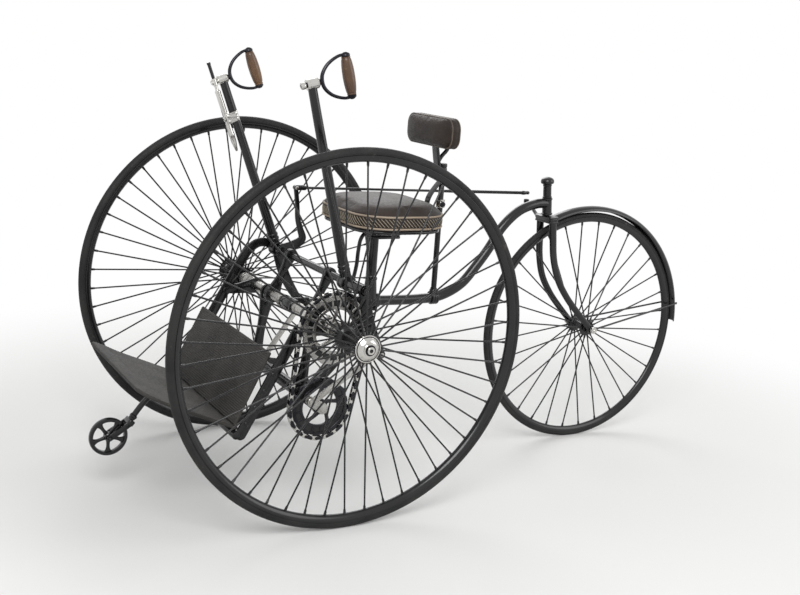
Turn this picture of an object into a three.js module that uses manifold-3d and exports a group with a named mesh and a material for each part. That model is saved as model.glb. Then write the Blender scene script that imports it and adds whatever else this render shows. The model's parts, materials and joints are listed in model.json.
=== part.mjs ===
// Hand-lever tricycle: two driving wheels side by side, a steered trailing rear wheel,
// a hanging footrest with a small safety castor, a sprung seat and a back pad.
// Millimetres. +X is forward, +Y is the machine's left, +Z is up. The ground is z = 0.
import * as THREE from "three";
import { mergeVertices } from "three/addons/utils/BufferGeometryUtils.js";
import Module from "manifold-3d";

const wasm = await Module();
wasm.setup();

// ---------- driving dimensions ----------
const RING_SIDES = 48; // facets round a wheel
const FIT = 0.3; // gap between neighbours that are bolted, keyed or brazed together
const RUN = 0.6; // gap of a shaft in its bearing
const WHEEL_R = 560; // driving wheel, outside the tyre
const TYRE_W = 30;
const TYRE_D = 27;
const RIM_D = 19;
const SPOKE_R = 3.1; // corner radius of a three-sided spoke
const DRIVE_SPOKES = 50;
const HUB_FLANGE = 66; // flange plane from the wheel's plane
const HUB_FLANGE_R = 37;
const HUB_R = 19;
const CAP_R = 34;
const CAP_OUT = 90; // outer face of the hub cap from the wheel's plane
const REAR_R = 425;
const REAR_SPOKES = 32;
const REAR_TYRE_W = 22;
const REAR_TYRE_D = 21;
const REAR_RIM_D = 14;
const REAR_FLANGE = 36;
const REAR_HUB_HALF = 44;
const REAR_HUB_R = 15;
const AXLE_Z = WHEEL_R;
const AXLE_R = 11;
const CASING_R = 18;
const COLLAR_R = 25;
const BACKBONE_R = 17;
const CLIP_WALL = 7; // clips that hold pillars and posts on the backbone
const CLIP_R = BACKBONE_R + CLIP_WALL;
const UPPER_PITCH_R = 113; // chain wheels, to the middle of the chain
const LOWER_PITCH_R = 98;
const FULCRUM = { x: -60, z: AXLE_Z + UPPER_PITCH_R + 17 }; // lever shaft, clear of the upper chain wheel
const FULCRUM_R = 12;
const LEVER_L = 605; // lever shaft to handle stud
const LEVER_R = 14.5;
const LEFT_LEAN = 14.5; // lean forward at rest, degrees
const RIGHT_LEAN = 21.5;
const ARM_L = 210; // lever shaft to connecting-rod pin
const ARM_KINK = 5; // the arm leans this much more than its lever
const ARM_T = 10;
const CRANK = { x: 35, z: AXLE_Z - 232 };
const CRANK_R = 11;
const CRANK_THROW = 55;
const CRANK_WEB_T = 10;
const ROD_SPARE = 6; // connecting rods over the mean distance from arm end to crank
const ROD_T = 10;
const PIN_R = 7;
const OPEN_PIN_GAP = 5; // clearance of the opened crank pin from the crank's face
const CHAIN_W = 14;
const CHAIN_HALF = 6;
const CHAIN_WAIST = 3.5;
const CHAIN_LINKS = 44;
const WHEEL_TO_CHAIN = 1.5;
const CHAINWHEEL_T = 9;
const REST_BAR_T = 8;
const REST_BAR_W = 34;
const REST_BAR_TOP = { x: 17, z: AXLE_Z + 156 };
const HEEL = { x: 268, z: AXLE_Z - 308 };
const CALF_TOP = { x: 180, z: HEEL.z + 238 };
const TOE = { x: 572, z: HEEL.z + 144 };
const PLATE_T = 11;
const CASTOR = { x: 575, z: HEEL.z - 76 };
const CASTOR_R = 59;
const CASTOR_W = 18;
const PILLAR_X = -286;
const PILLAR_R = 14;
const SEAT_WIDE = 400;
const SEAT = { x: -310, low: AXLE_Z + 265, thick: 82, long: 320, corner: 110 };
const SEAT_BASE_T = 9;
const POST_X = -532;
const POST_R = 9.5;
const POST_TOP = AXLE_Z + 452;
const PAD = { x: -480, z: AXLE_Z + 571, deep: 50, wide: 290, high: 94, corner: 36 };
const GUARD_GAP = 21; // rear tyre to mudguard
const GUARD_T = 2.6;
const GUARD_W = 44;
const GUARD_R = REAR_R + GUARD_GAP;
const CROWN_AHEAD = 200; // fork crown ahead of the rear axle
const HEAD_ABOVE_GUARD = 66.35;
const HEAD = { // a point of the steering axis
  x: -550 - REAR_R,
  z: REAR_R + Math.sqrt(GUARD_R ** 2 - CROWN_AHEAD ** 2) + HEAD_ABOVE_GUARD,
};
const REAR_X = HEAD.x - CROWN_AHEAD - 5;
const HEAD_TILT = 5; // top of the steering axis leans forward, degrees
const HEAD_R = 17;
const HEAD_LOW = -47; // head tube along the axis from HEAD
const HEAD_HIGH = 14;
const COLUMN_R = 10;
const COLUMN_TOP = 80;
const STEER_PIN = { x: HEAD.x - 24, y: 40 - SEAT_WIDE / 2, z: HEAD.z + 8 }; // rear end of the steering rod
const STEER_ROD_R = 4.5;
const BLADE_R = 10.5;
const BLADE_TOP_Y = 38;
const BLADE_LOW_Y = 60;
const REAR_AXLE_R = 7;
// Across the machine each piece stands clear of the one inside it.
const STEER_LEVER_Y = SEAT_WIDE / 2 + 30; // beside the seat, on the right
const LEVER_Y = STEER_LEVER_Y + 40;
const REST_HALF = LEVER_Y + 26; // half width of the foot boards
const CHAIN_Y = REST_HALF + 39;
const LEFT_WEB_Y = CHAIN_Y + 22;
const LEFT_ROD_Y = LEFT_WEB_Y + 19;
const LEFT_ARM_Y = LEFT_ROD_Y + 15; // outboard of the chain
const TRACK_HALF = LEFT_ARM_Y + 18 + HUB_FLANGE; // driving wheel's plane from the middle
const RIGHT_WEB_Y = -LEVER_Y + 43;
const RIGHT_ROD_Y = -LEVER_Y + 24;
const CRANK_TUBE_HALF = LEVER_Y - 70;
const CASING_LEFT = CHAIN_Y - 17;
const CASING_RIGHT = -TRACK_HALF + HUB_FLANGE + 17;
const FULCRUM_LEFT = LEFT_ARM_Y + 7;
const FULCRUM_RIGHT = -REST_HALF - 10;
const STEER_EYE = { x: -100, y: -STEER_LEVER_Y, z: FULCRUM.z + 215 }; // front end of the steering rod
const MIDDLE_X = (CASTOR.x + CASTOR_R + REAR_X - GUARD_R - GUARD_T) / 2; // middle of the overall length

// ---------- solids ----------
const deg = Math.PI / 180;
const V = (x, y, z) => new THREE.Vector3(x, y, z);

function solid(geometry) {
  const g = geometry.clone();
  g.deleteAttribute("normal");
  g.deleteAttribute("uv");
  const m = mergeVertices(g, 1e-4);
  const mesh = new wasm.Mesh({
    numProp: 3,
    vertProperties: new Float32Array(m.attributes.position.array),
    triVerts: new Uint32Array(m.index.array),
  });
  mesh.merge();
  return new wasm.Manifold(mesh);
}

const join = (...parts) => parts.flat().reduce((a, b) => a.add(b));
const cut = (body, ...tools) => tools.flat().reduce((a, b) => a.subtract(b), body);

function geometryOf(body) {
  const mesh = body.getMesh();
  const g = new THREE.BufferGeometry();
  const p = new Float32Array((mesh.vertProperties.length / mesh.numProp) * 3);
  for (let i = 0; i < p.length / 3; i++) {
    for (let k = 0; k < 3; k++) p[3 * i + k] = mesh.vertProperties[i * mesh.numProp + k];
  }
  g.setAttribute("position", new THREE.BufferAttribute(p, 3));
  g.setIndex(new THREE.BufferAttribute(new Uint32Array(mesh.triVerts), 1));
  g.computeVertexNormals();
  return g;
}

// A rod or cone between two points.
function rod(a, b, r0, r1 = r0, sides = 12) {
  const span = b.clone().sub(a);
  const g = new THREE.CylinderGeometry(r1, r0, span.length(), sides);
  const turn = new THREE.Quaternion().setFromUnitVectors(V(0, 1, 0), span.clone().normalize());
  const middle = a.clone().add(b).multiplyScalar(0.5);
  g.applyMatrix4(new THREE.Matrix4().compose(middle, turn, V(1, 1, 1)));
  return solid(g);
}

// A rod along Y at x, z from y0 to y1.
const crossRod = (x, z, y0, y1, r, sides = 14) => rod(V(x, y0, z), V(x, y1, z), r, r, sides);

function block(centre, size, turnY = 0) {
  const g = new THREE.BoxGeometry(size.x, size.y, size.z);
  g.rotateY(turnY);
  g.translate(centre.x, centre.y, centre.z);
  return solid(g);
}

// A round bar of radius r along a smooth line of points.
function bar(points, r, steps, sides = 12) {
  const ring = new THREE.Shape();
  ring.absarc(0, 0, r, 0, 2 * Math.PI, false);
  const path = new THREE.CatmullRomCurve3(points, false, "centripetal");
  return solid(new THREE.ExtrudeGeometry(ring, {
    steps, curveSegments: sides / 2, bevelEnabled: false, extrudePath: path,
  }));
}

// A profile of [radius, along] pairs turned round a line through (x, *, z) along Y.
function turned(profile, x, z, sides) {
  const g = new THREE.LatheGeometry(profile.map(([r, a]) => new THREE.Vector2(r, a)), sides);
  g.translate(x, 0, z);
  const s = solid(g);
  return s.volume() < 0 ? solid(flip(g)) : s;
}

// A profile of [radius, along] pairs turned round the line from point a in direction dir.
function turnedAlong(profile, a, dir, sides) {
  const g = new THREE.LatheGeometry(profile.map(([r, s]) => new THREE.Vector2(r, s)), sides);
  const turn = new THREE.Quaternion().setFromUnitVectors(V(0, 1, 0), dir);
  g.applyMatrix4(new THREE.Matrix4().compose(a, turn, V(1, 1, 1)));
  return solid(g);
}

function flip(g) {
  const m = mergeVertices(g);
  const i = m.index.array;
  for (let k = 0; k < i.length; k += 3) [i[k], i[k + 1]] = [i[k + 1], i[k]];
  return m;
}

// A flat shape drawn in the X-Z plane, from y0 to y1.
function plate(shape, y0, y1, curveSegments = 10) {
  const g = new THREE.ExtrudeGeometry(shape, { depth: y1 - y0, bevelEnabled: false, curveSegments });
  g.rotateX(Math.PI / 2);
  g.translate(0, y1, 0);
  return solid(g);
}

function polygon(points) {
  const s = new THREE.Shape();
  points.forEach(([x, z], i) => (i ? s.lineTo(x, z) : s.moveTo(x, z)));
  s.closePath();
  return s;
}

// A bar of width w between two points of the X-Z plane, round at both ends.
function link(a, b, wa, wb, y0, y1) {
  const t = Math.atan2(b.z - a.z, b.x - a.x);
  const s = new THREE.Shape();
  s.absarc(a.x, a.z, wa, t + Math.PI / 2, t + 1.5 * Math.PI, false);
  s.absarc(b.x, b.z, wb, t - Math.PI / 2, t + Math.PI / 2, false);
  s.closePath();
  return plate(s, y0, y1, 4);
}

function roundedShape(w, h, r) {
  const s = new THREE.Shape();
  s.moveTo(-w / 2 + r, -h / 2);
  s.lineTo(w / 2 - r, -h / 2);
  s.absarc(w / 2 - r, -h / 2 + r, r, -Math.PI / 2, 0, false);
  s.lineTo(w / 2, h / 2 - r);
  s.absarc(w / 2 - r, h / 2 - r, r, 0, Math.PI / 2, false);
  s.lineTo(-w / 2 + r, h / 2);
  s.absarc(-w / 2 + r, h / 2 - r, r, Math.PI / 2, Math.PI, false);
  s.lineTo(-w / 2, -h / 2 + r);
  s.absarc(-w / 2 + r, -h / 2 + r, r, Math.PI, 1.5 * Math.PI, false);
  return s;
}

// A cushion: a rounded outline with rolled edges, lying flat with its base at z = 0.
function cushion(w, h, corner, thick, roll) {
  return new THREE.ExtrudeGeometry(roundedShape(w - 2 * roll, h - 2 * roll, corner - roll), {
    depth: thick - 2 * roll, bevelEnabled: true, bevelThickness: roll, bevelSize: roll,
    bevelSegments: 2, curveSegments: 4,
  }).translate(0, 0, roll);
}

const group = new THREE.Group();
group.name = "hand_lever_tricycle";
group.position.x = -MIDDLE_X;
const FINISH = {
  enamel: { color: 0x141414, roughness: 0.35, metalness: 0.2 },
  plated: { color: 0xd0d0cc, roughness: 0.2, metalness: 0.95 },
  steel: { color: 0x8a8a86, roughness: 0.35, metalness: 0.9 },
  rubber: { color: 0x2b2b2a, roughness: 0.85, metalness: 0 },
  wood: { color: 0x6b4526, roughness: 0.5, metalness: 0 },
  leather: { color: 0x2e211a, roughness: 0.6, metalness: 0 },
};
function node(name, body, finish) {
  const geometry = body.isBufferGeometry ? body : geometryOf(body);
  const mesh = new THREE.Mesh(geometry, new THREE.MeshStandardMaterial(FINISH[finish]));
  mesh.name = name;
  group.add(mesh);
}

// ---------- wheels ----------
function tyre(r, w, d, x, y, z) {
  const k = 0.3;
  const ring = [
    [r - d, -w / 2 + 2], [r - d * 0.45, -w / 2], [r - d * 0.1, -w * k],
    [r, 0], [r - d * 0.1, w * k], [r - d * 0.45, w / 2], [r - d, w / 2 - 2], [r - d, -w / 2 + 2],
  ];
  return turned(ring.map(([q, a]) => [q, a + y]), x, z, RING_SIDES);
}

// Rim, hub and the spokes between them. Even spokes go to the outer flange, odd ones to the inner.
function spokedWheel(o) {
  const top = o.r - o.tyreD - FIT;
  const low = top - o.rimD;
  const h = o.tyreW / 2;
  const rim = turned([
    [low, -h * 0.45], [top - 3, -h], [top, -h], [top, h], [top - 3, h], [low, h * 0.45], [low, -h * 0.45],
  ].map(([q, a]) => [q, a + o.y]), o.x, o.r, RING_SIDES);
  const hub = turned([
    [0, -o.inner], [o.hubR, -o.inner], [o.hubR, -o.flange - 4], [o.flangeR, -o.flange - 4],
    [o.flangeR, -o.flange + 3], [o.hubR, -o.flange + 5], [o.hubR, o.flange - 5], [o.flangeR, o.flange - 3],
    [o.flangeR, o.flange + 4], [o.hubR, o.flange + 4], [o.hubR, o.outer], [0, o.outer],
  ].map(([q, a]) => [q, o.side * a + o.y]), o.x, o.r, 16);
  const spokes = [];
  for (let i = 0; i < o.spokes; i++) {
    const t = (2 * Math.PI * (i + 0.5)) / o.spokes;
    const f = (i % 2 ? -1 : 1) * o.side * o.flange;
    const at = (q, y) => V(o.x + q * Math.cos(t), y, o.r + q * Math.sin(t));
    spokes.push(rod(at(o.flangeR - 8, o.y + f), at(low + 4, o.y), SPOKE_R, SPOKE_R, 3));
  }
  const wheel = join(rim, hub, spokes);
  const bore = crossRod(o.x, o.r, o.y - 200, o.y + 200, o.bore);
  return cut(wheel, bore);
}

const driveWheel = (side) => spokedWheel({
  x: 0, y: side * TRACK_HALF, r: WHEEL_R, side, tyreD: TYRE_D, tyreW: TYRE_W, rimD: RIM_D,
  spokes: DRIVE_SPOKES, flange: HUB_FLANGE, flangeR: HUB_FLANGE_R, hubR: HUB_R,
  inner: HUB_FLANGE + 6, outer: HUB_FLANGE + 6, bore: AXLE_R + FIT,
});

function hubCap(side) {
  const a = HUB_FLANGE + 6 + FIT;
  const cap = turned([
    [0, a], [CAP_R, a], [CAP_R, a + 8], [CAP_R * 0.85, CAP_OUT - 4], [CAP_R * 0.5, CAP_OUT],
    [11, CAP_OUT], [11, CAP_OUT + 8], [0, CAP_OUT + 8],
  ].map(([q, s]) => [q, side * (s + TRACK_HALF)]), 0, AXLE_Z, 20);
  return cap;
}

for (const [name, side] of [["left", 1], ["right", -1]]) {
  node(`${name}_wheel`, driveWheel(side), "enamel");
  node(`${name}_tyre`, tyre(WHEEL_R, TYRE_W, TYRE_D, 0, side * TRACK_HALF, WHEEL_R), "rubber");
  node(`${name}_hub_cap`, hubCap(side), "plated");
  node(`${name}_axle`, crossRod(0, AXLE_Z, side * 20, side * (TRACK_HALF + HUB_FLANGE + 6), AXLE_R), "steel");
}

node("rear_wheel", spokedWheel({
  x: REAR_X, y: 0, r: REAR_R, side: 1, tyreD: REAR_TYRE_D, tyreW: REAR_TYRE_W, rimD: REAR_RIM_D,
  spokes: REAR_SPOKES, flange: REAR_FLANGE, flangeR: 30, hubR: REAR_HUB_R,
  inner: REAR_HUB_HALF, outer: REAR_HUB_HALF, bore: REAR_AXLE_R + RUN,
}), "enamel");
node("rear_tyre", tyre(REAR_R, REAR_TYRE_W, REAR_TYRE_D, REAR_X, 0, REAR_R), "rubber");

// ---------- main frame ----------
const casingOuter = (grow) => crossRod(0, AXLE_Z, CASING_RIGHT, CASING_LEFT, CASING_R + grow);
const backbonePoints = [
  V(-10, 0, AXLE_Z), V(-250, 0, AXLE_Z), V(POST_X + 62, 0, AXLE_Z - 3), V(POST_X - 28, 0, AXLE_Z + 5),
  // [ahead of the head, share of the rise]
  ...[[334, 0.136], [282, 0.31], [232, 0.51], [182, 0.745], [114, 0.923], [43, 0.995], [3, 1]].map(
    ([ahead, share]) => V(HEAD.x + ahead, 0, AXLE_Z + share * (HEAD.z - 6 - AXLE_Z))),
];
const backbone = (grow) => bar(backbonePoints, BACKBONE_R + grow, 20, 12);

const axisDir = V(Math.sin(HEAD_TILT * deg), 0, Math.cos(HEAD_TILT * deg));
const onAxis = (s) => V(HEAD.x, 0, HEAD.z).add(axisDir.clone().multiplyScalar(s));
const headOuter = (grow) => rod(onAxis(HEAD_LOW - grow), onAxis(HEAD_HIGH + grow), HEAD_R + grow, HEAD_R + grow, 16);

node("backbone", cut(backbone(0), casingOuter(FIT),
  rod(onAxis(HEAD_LOW - 40), onAxis(HEAD_HIGH + 40), HEAD_R + FIT, HEAD_R + FIT, 16)), "enamel");

const collarLeft = crossRod(0, AXLE_Z, CASING_LEFT - 18, CASING_LEFT, COLLAR_R);
const collarRight = crossRod(0, AXLE_Z, CASING_RIGHT, CASING_RIGHT + 40, COLLAR_R);
const casingBore = join(
  crossRod(0, AXLE_Z, CASING_RIGHT - 5, CASING_LEFT + 5, AXLE_R + RUN),
  crossRod(0, AXLE_Z, CASING_RIGHT + 30, CASING_LEFT - 30, CASING_R - 3),
);
node("axle_casing", cut(join(casingOuter(0), collarLeft, collarRight), casingBore), "steel");

node("head_tube", cut(headOuter(0), rod(onAxis(HEAD_LOW - 5), onAxis(HEAD_HIGH + 5), COLUMN_R + RUN, COLUMN_R + RUN, 14)), "enamel");

// Lever shaft on two brackets that clip round the axle casing.
const fulcrumShaft = (grow) => crossRod(FULCRUM.x, FULCRUM.z, FULCRUM_RIGHT, FULCRUM_LEFT, FULCRUM_R + grow);
const brackets = [-1, 1].map((s) => link(
  { x: FULCRUM.x, z: FULCRUM.z }, { x: 0, z: AXLE_Z }, 22, 30, s * 150 - 7, s * 150 + 7));
node("lever_shaft", cut(join(fulcrumShaft(0), brackets), casingOuter(FIT)), "enamel");

// Crank bearing on two hangers that clip round the axle casing.
const hangers = [-1, 1].map((s) => link(
  { x: 0, z: AXLE_Z }, CRANK, 28, 24, s * (CRANK_TUBE_HALF - 15) - 6, s * (CRANK_TUBE_HALF - 15) + 6));
const crankTube = crossRod(CRANK.x, CRANK.z, -CRANK_TUBE_HALF, CRANK_TUBE_HALF, 20);
node("crank_bracket", cut(join(crankTube, hangers), casingOuter(FIT),
  crossRod(CRANK.x, CRANK.z, -CRANK_TUBE_HALF - 10, CRANK_TUBE_HALF + 10, CRANK_R + RUN)), "enamel");

// ---------- crank, chain wheels and chain ----------
const armEnd = (lean) => ({
  x: FULCRUM.x - ARM_L * Math.sin((lean + ARM_KINK) * deg),
  z: FULCRUM.z - ARM_L * Math.cos((lean + ARM_KINK) * deg),
});
const leftEnd = armEnd(LEFT_LEAN);
const rightEnd = armEnd(RIGHT_LEAN);
const reach = (end) => Math.hypot(end.x - CRANK.x, end.z - CRANK.z);
const ROD_L = (reach(leftEnd) + reach(rightEnd)) / 2 + ROD_SPARE;
// Where a rod of ROD_L from the arm's end meets the crank circle, on the chosen side.
function pinAt(end, side) {
  const d = reach(end);
  const c = (CRANK_THROW ** 2 + d * d - ROD_L ** 2) / (2 * CRANK_THROW * d);
  const t = Math.atan2(end.z - CRANK.z, end.x - CRANK.x) + side * Math.acos(c);
  return { x: CRANK.x + CRANK_THROW * Math.cos(t), z: CRANK.z + CRANK_THROW * Math.sin(t) };
}
const leftPin = pinAt(leftEnd, -1);
const rightPin = pinAt(rightEnd, 1);

node("crankshaft", join(
  crossRod(CRANK.x, CRANK.z, RIGHT_WEB_Y, LEFT_WEB_Y, CRANK_R),
  link(CRANK, leftPin, 17, 12, LEFT_WEB_Y - CRANK_WEB_T / 2, LEFT_WEB_Y + CRANK_WEB_T / 2),
  link(CRANK, rightPin, 17, 12, RIGHT_WEB_Y - CRANK_WEB_T / 2, RIGHT_WEB_Y + CRANK_WEB_T / 2),
), "steel");

// A chain wheel: rim, boss and five bowed arms.
function chainWheel(c, pitchR, boss, bore, rimD) {
  const out = pitchR - CHAIN_HALF - WHEEL_TO_CHAIN;
  const t = CHAINWHEEL_T / 2;
  const y = CHAIN_Y;
  const rim = cut(crossRod(c.x, c.z, y - t, y + t, out, 32), crossRod(c.x, c.z, y - 20, y + 20, out - rimD, 32));
  const middle = crossRod(c.x, c.z, y - t, y + t, boss);
  const arms = [];
  for (let i = 0; i < 5; i++) {
    const a = (2 * Math.PI * i) / 5;
    const side = (w) => [0, 0.33, 0.67, 1].map((u) => {
      const q = boss - 4 + u * (out - rimD + 6 - boss);
      const bend = a + 0.5 * Math.sin(Math.PI * u * 0.5) + w / q;
      return [c.x + q * Math.cos(bend), c.z + q * Math.sin(bend)];
    });
    arms.push(plate(polygon([...side(-5), ...side(5).reverse()]), y - t + 1, y + t - 1));
  }
  return cut(join(rim, middle, arms), crossRod(c.x, c.z, y - 20, y + 20, bore));
}
node("upper_chain_wheel", chainWheel({ x: 0, z: AXLE_Z }, UPPER_PITCH_R, 26, AXLE_R + FIT, 17), "steel");
node("lower_chain_wheel", chainWheel(CRANK, LOWER_PITCH_R, 24, CRANK_R + FIT, 15), "enamel");

// The chain's line: round the upper wheel, down one side, round the lower wheel, up the other.
function chainLine() {
  const d = V(CRANK.x, 0, CRANK.z - AXLE_Z);
  const gap = d.length();
  const down = Math.atan2(d.z, d.x);
  const lap = Math.acos((UPPER_PITCH_R - LOWER_PITCH_R) / gap);
  const run = Math.sqrt(gap ** 2 - (UPPER_PITCH_R - LOWER_PITCH_R) ** 2);
  const parts = [
    { c: { x: 0, z: AXLE_Z }, r: UPPER_PITCH_R, from: down + lap, sweep: 2 * Math.PI - 2 * lap },
    { line: run, at: down - lap },
    { c: CRANK, r: LOWER_PITCH_R, from: down - lap, sweep: 2 * lap },
    { line: run, at: down + lap },
  ];
  const size = parts.map((p) => (p.line ? p.line : p.r * p.sweep));
  const total = size.reduce((a, b) => a + b);
  return (share, off) => {
    let s = (((share % 1) + 1) % 1) * total;
    let i = 0;
    while (s > size[i] && i < 3) s -= size[i++];
    const p = parts[i];
    if (!p.line) {
      const t = p.from + s / p.r;
      return [p.c.x + (p.r + off) * Math.cos(t), p.c.z + (p.r + off) * Math.sin(t)];
    }
    const n = [Math.cos(p.at), Math.sin(p.at)];
    const [c0, r0, c1, r1] = i === 1
      ? [{ x: 0, z: AXLE_Z }, UPPER_PITCH_R, CRANK, LOWER_PITCH_R]
      : [CRANK, LOWER_PITCH_R, { x: 0, z: AXLE_Z }, UPPER_PITCH_R];
    const u = s / p.line;
    const x0 = c0.x + r0 * n[0];
    const z0 = c0.z + r0 * n[1];
    const x1 = c1.x + r1 * n[0];
    const z1 = c1.z + r1 * n[1];
    return [x0 + u * (x1 - x0) + off * n[0], z0 + u * (z1 - z0) + off * n[1]];
  };
}
const alongChain = chainLine();
function chainEdge(sign) {
  const out = [];
  for (let i = 0; i < CHAIN_LINKS; i++) {
    if (sign < 0) {
      out.push(alongChain(i / CHAIN_LINKS, -CHAIN_HALF));
      continue;
    }
    for (const [u, off] of [[0, CHAIN_HALF], [0.5, CHAIN_HALF], [0.54, CHAIN_WAIST], [0.96, CHAIN_WAIST]]) {
      out.push(alongChain((i + u) / CHAIN_LINKS, off));
    }
  }
  return out;
}
const chainOuter = plate(polygon(chainEdge(1)), CHAIN_Y - CHAIN_W / 2, CHAIN_Y + CHAIN_W / 2);
const chainInner = plate(polygon(chainEdge(-1)), CHAIN_Y - CHAIN_W, CHAIN_Y + CHAIN_W);
node("drive_chain", cut(chainOuter, chainInner), "steel");

// ---------- levers, handles and connecting rods ----------
const leverDir = (lean) => V(Math.sin(lean * deg), 0, Math.cos(lean * deg));
const behind = (lean) => V(-Math.cos(lean * deg), 0, Math.sin(lean * deg));
const fulcrumAt = (y) => V(FULCRUM.x, y, FULCRUM.z);
const stud = (lean, y, up, back = 0) => fulcrumAt(y)
  .add(leverDir(lean).multiplyScalar(up)).add(behind(lean).multiplyScalar(back));
const pinHole = (p, y) => crossRod(p.x, p.z, y - 60, y + 60, PIN_R + FIT, 12);
const studHole = (lean, y, r) => rod(stud(lean, y, LEVER_L, -60), stud(lean, y, LEVER_L, 60), r, r, 12);
const EYE_FRONT = -17; // barrel on top of a lever, round its handle's stud
const EYE_R = 16;
// Each handle's stud: its front end, its barrel's rear end and how far the bow is slid back.
const STUD = {
  left: { front: -38, eyeBack: 21, slid: 0, knob: true },
  right: { front: -17, eyeBack: 15, slid: -6, knob: false },
};

const STUD_R = 8;
function lever(lean, y, eyeBack, armY, sleeveFrom, sleeveTo) {
  const upper = rod(fulcrumAt(y), stud(lean, y, LEVER_L), LEVER_R + 2, LEVER_R - 1, 14);
  const eye = rod(stud(lean, y, LEVER_L, EYE_FRONT), stud(lean, y, LEVER_L, eyeBack), EYE_R, EYE_R, 14);
  const boss = crossRod(FULCRUM.x, FULCRUM.z, y - 20, y + 20, 25);
  const sleeve = crossRod(FULCRUM.x, FULCRUM.z, sleeveFrom, sleeveTo, FULCRUM_R + 4.5);
  const end = armEnd(lean);
  const arm = link(FULCRUM, end, 17, 13, armY - ARM_T / 2, armY + ARM_T / 2);
  return cut(join(upper, eye, boss, sleeve, arm), fulcrumShaft(RUN), pinHole(end, armY), studHole(lean, y, STUD_R + FIT));
}
node("left_lever", lever(LEFT_LEAN, LEVER_Y, STUD.left.eyeBack, LEFT_ARM_Y, LEVER_Y, LEFT_ARM_Y + ARM_T / 2), "enamel");
node("right_lever", lever(RIGHT_LEAN, -LEVER_Y, STUD.right.eyeBack, -LEVER_Y, -LEVER_Y - 20, -LEVER_Y + 20), "enamel");

const GRIP_BACK = 120; // lever to grip
const GRIP_HALF = 56;
const GRIP_R = 18.5;
function bow(lean, y, { front, slid, knob }) {
  const p = (up, back) => stud(lean, y, LEVER_L + up, back + slid);
  const pin = rod(stud(lean, y, LEVER_L, front), p(0, 38), STUD_R, STUD_R, 12);
  const top = rod(p(GRIP_HALF + 14, GRIP_BACK), p(GRIP_HALF + FIT, GRIP_BACK), 9, 12, 10);
  const low = rod(p(-GRIP_HALF - 14, GRIP_BACK), p(-GRIP_HALF - FIT, GRIP_BACK), 9, 12, 10);
  const hoop = bar([
    p(GRIP_HALF + 7, GRIP_BACK), p(GRIP_HALF + 5, GRIP_BACK - 26), p(44, 58), p(20, 38), p(0, 34),
    p(-20, 38), p(-44, 58), p(-GRIP_HALF - 5, GRIP_BACK - 26), p(-GRIP_HALF - 7, GRIP_BACK),
  ], 5.5, 14, 6);
  const head = rod(stud(lean, y, LEVER_L, front), stud(lean, y, LEVER_L, front + 14), 10.5, 10.5, 12);
  return join(pin, top, low, hoop, knob ? head : []);
}
function grip(lean, y, { slid }) {
  const r = [GRIP_R - 5, GRIP_R - 1, GRIP_R, GRIP_R, GRIP_R - 1, GRIP_R - 5];
  const profile = [[0, -GRIP_HALF]];
  r.forEach((q, i) => profile.push([q, -GRIP_HALF + (2 * GRIP_HALF * i) / 5]));
  profile.push([0, GRIP_HALF]);
  return turnedAlong(profile, stud(lean, y, LEVER_L, GRIP_BACK + slid), leverDir(lean), 16);
}
for (const [name, lean, y] of [["left", LEFT_LEAN, LEVER_Y], ["right", RIGHT_LEAN, -LEVER_Y]]) {
  node(`${name}_handle`, bow(lean, y, STUD[name]), "enamel");
  node(`${name}_grip`, grip(lean, y, STUD[name]), "wood");
}

// Lock rod on the front of the right lever, held by a clamp.
const LOCK_OFF = -29;
const lockAt = (up) => stud(RIGHT_LEAN, -LEVER_Y, up, LOCK_OFF);
const lockRod = join(
  rod(lockAt(LEVER_L - 30), lockAt(LEVER_L + 66), 5.5, 5.5, 8),
  rod(lockAt(LEVER_L - 12), lockAt(LEVER_L + 12), 8.5, 8.5, 10),
  rod(lockAt(LEVER_L - 205), lockAt(LEVER_L - 26), 9, 9, 10),
  rod(lockAt(LEVER_L - 238), lockAt(LEVER_L - 204), 3.5, 9, 10),
  block(stud(RIGHT_LEAN, -LEVER_Y, LEVER_L - 125, -12), V(44, 40, 34), RIGHT_LEAN * deg),
);
const rightBar = (grow) => rod(fulcrumAt(-LEVER_Y), stud(RIGHT_LEAN, -LEVER_Y, LEVER_L),
  LEVER_R + 2 + grow, LEVER_R - 1 + grow, 14);
node("right_lock_rod", cut(lockRod, rightBar(FIT)), "plated");

// Connecting rods. Each carries its crank pin, which stops short of the crank's face.
function connectingRod(end, pin, y, armY, webY) {
  const half = ROD_T / 2;
  const out = Math.sign(armY - y);
  const toWeb = Math.sign(webY - y);
  const face = webY - toWeb * (CRANK_WEB_T / 2 + OPEN_PIN_GAP);
  const body = link(end, pin, 13, 14, y - half, y + half);
  const pivot = crossRod(end.x, end.z, y, armY + out * (ARM_T / 2 + 4), PIN_R, 12);
  const shoulder = crossRod(end.x, end.z, y, armY - out * (ARM_T / 2 + 1), 11, 12);
  const crankPin = crossRod(pin.x, pin.z, Math.min(y - toWeb * 9, face), Math.max(y - toWeb * 9, face), 9, 12);
  return join(body, pivot, shoulder, crankPin);
}
node("left_connecting_rod", connectingRod(leftEnd, leftPin, LEFT_ROD_Y, LEFT_ARM_Y, LEFT_WEB_Y), "steel");
node("right_connecting_rod", connectingRod(rightEnd, rightPin, RIGHT_ROD_Y, -LEVER_Y, RIGHT_WEB_Y), "steel");

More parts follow.
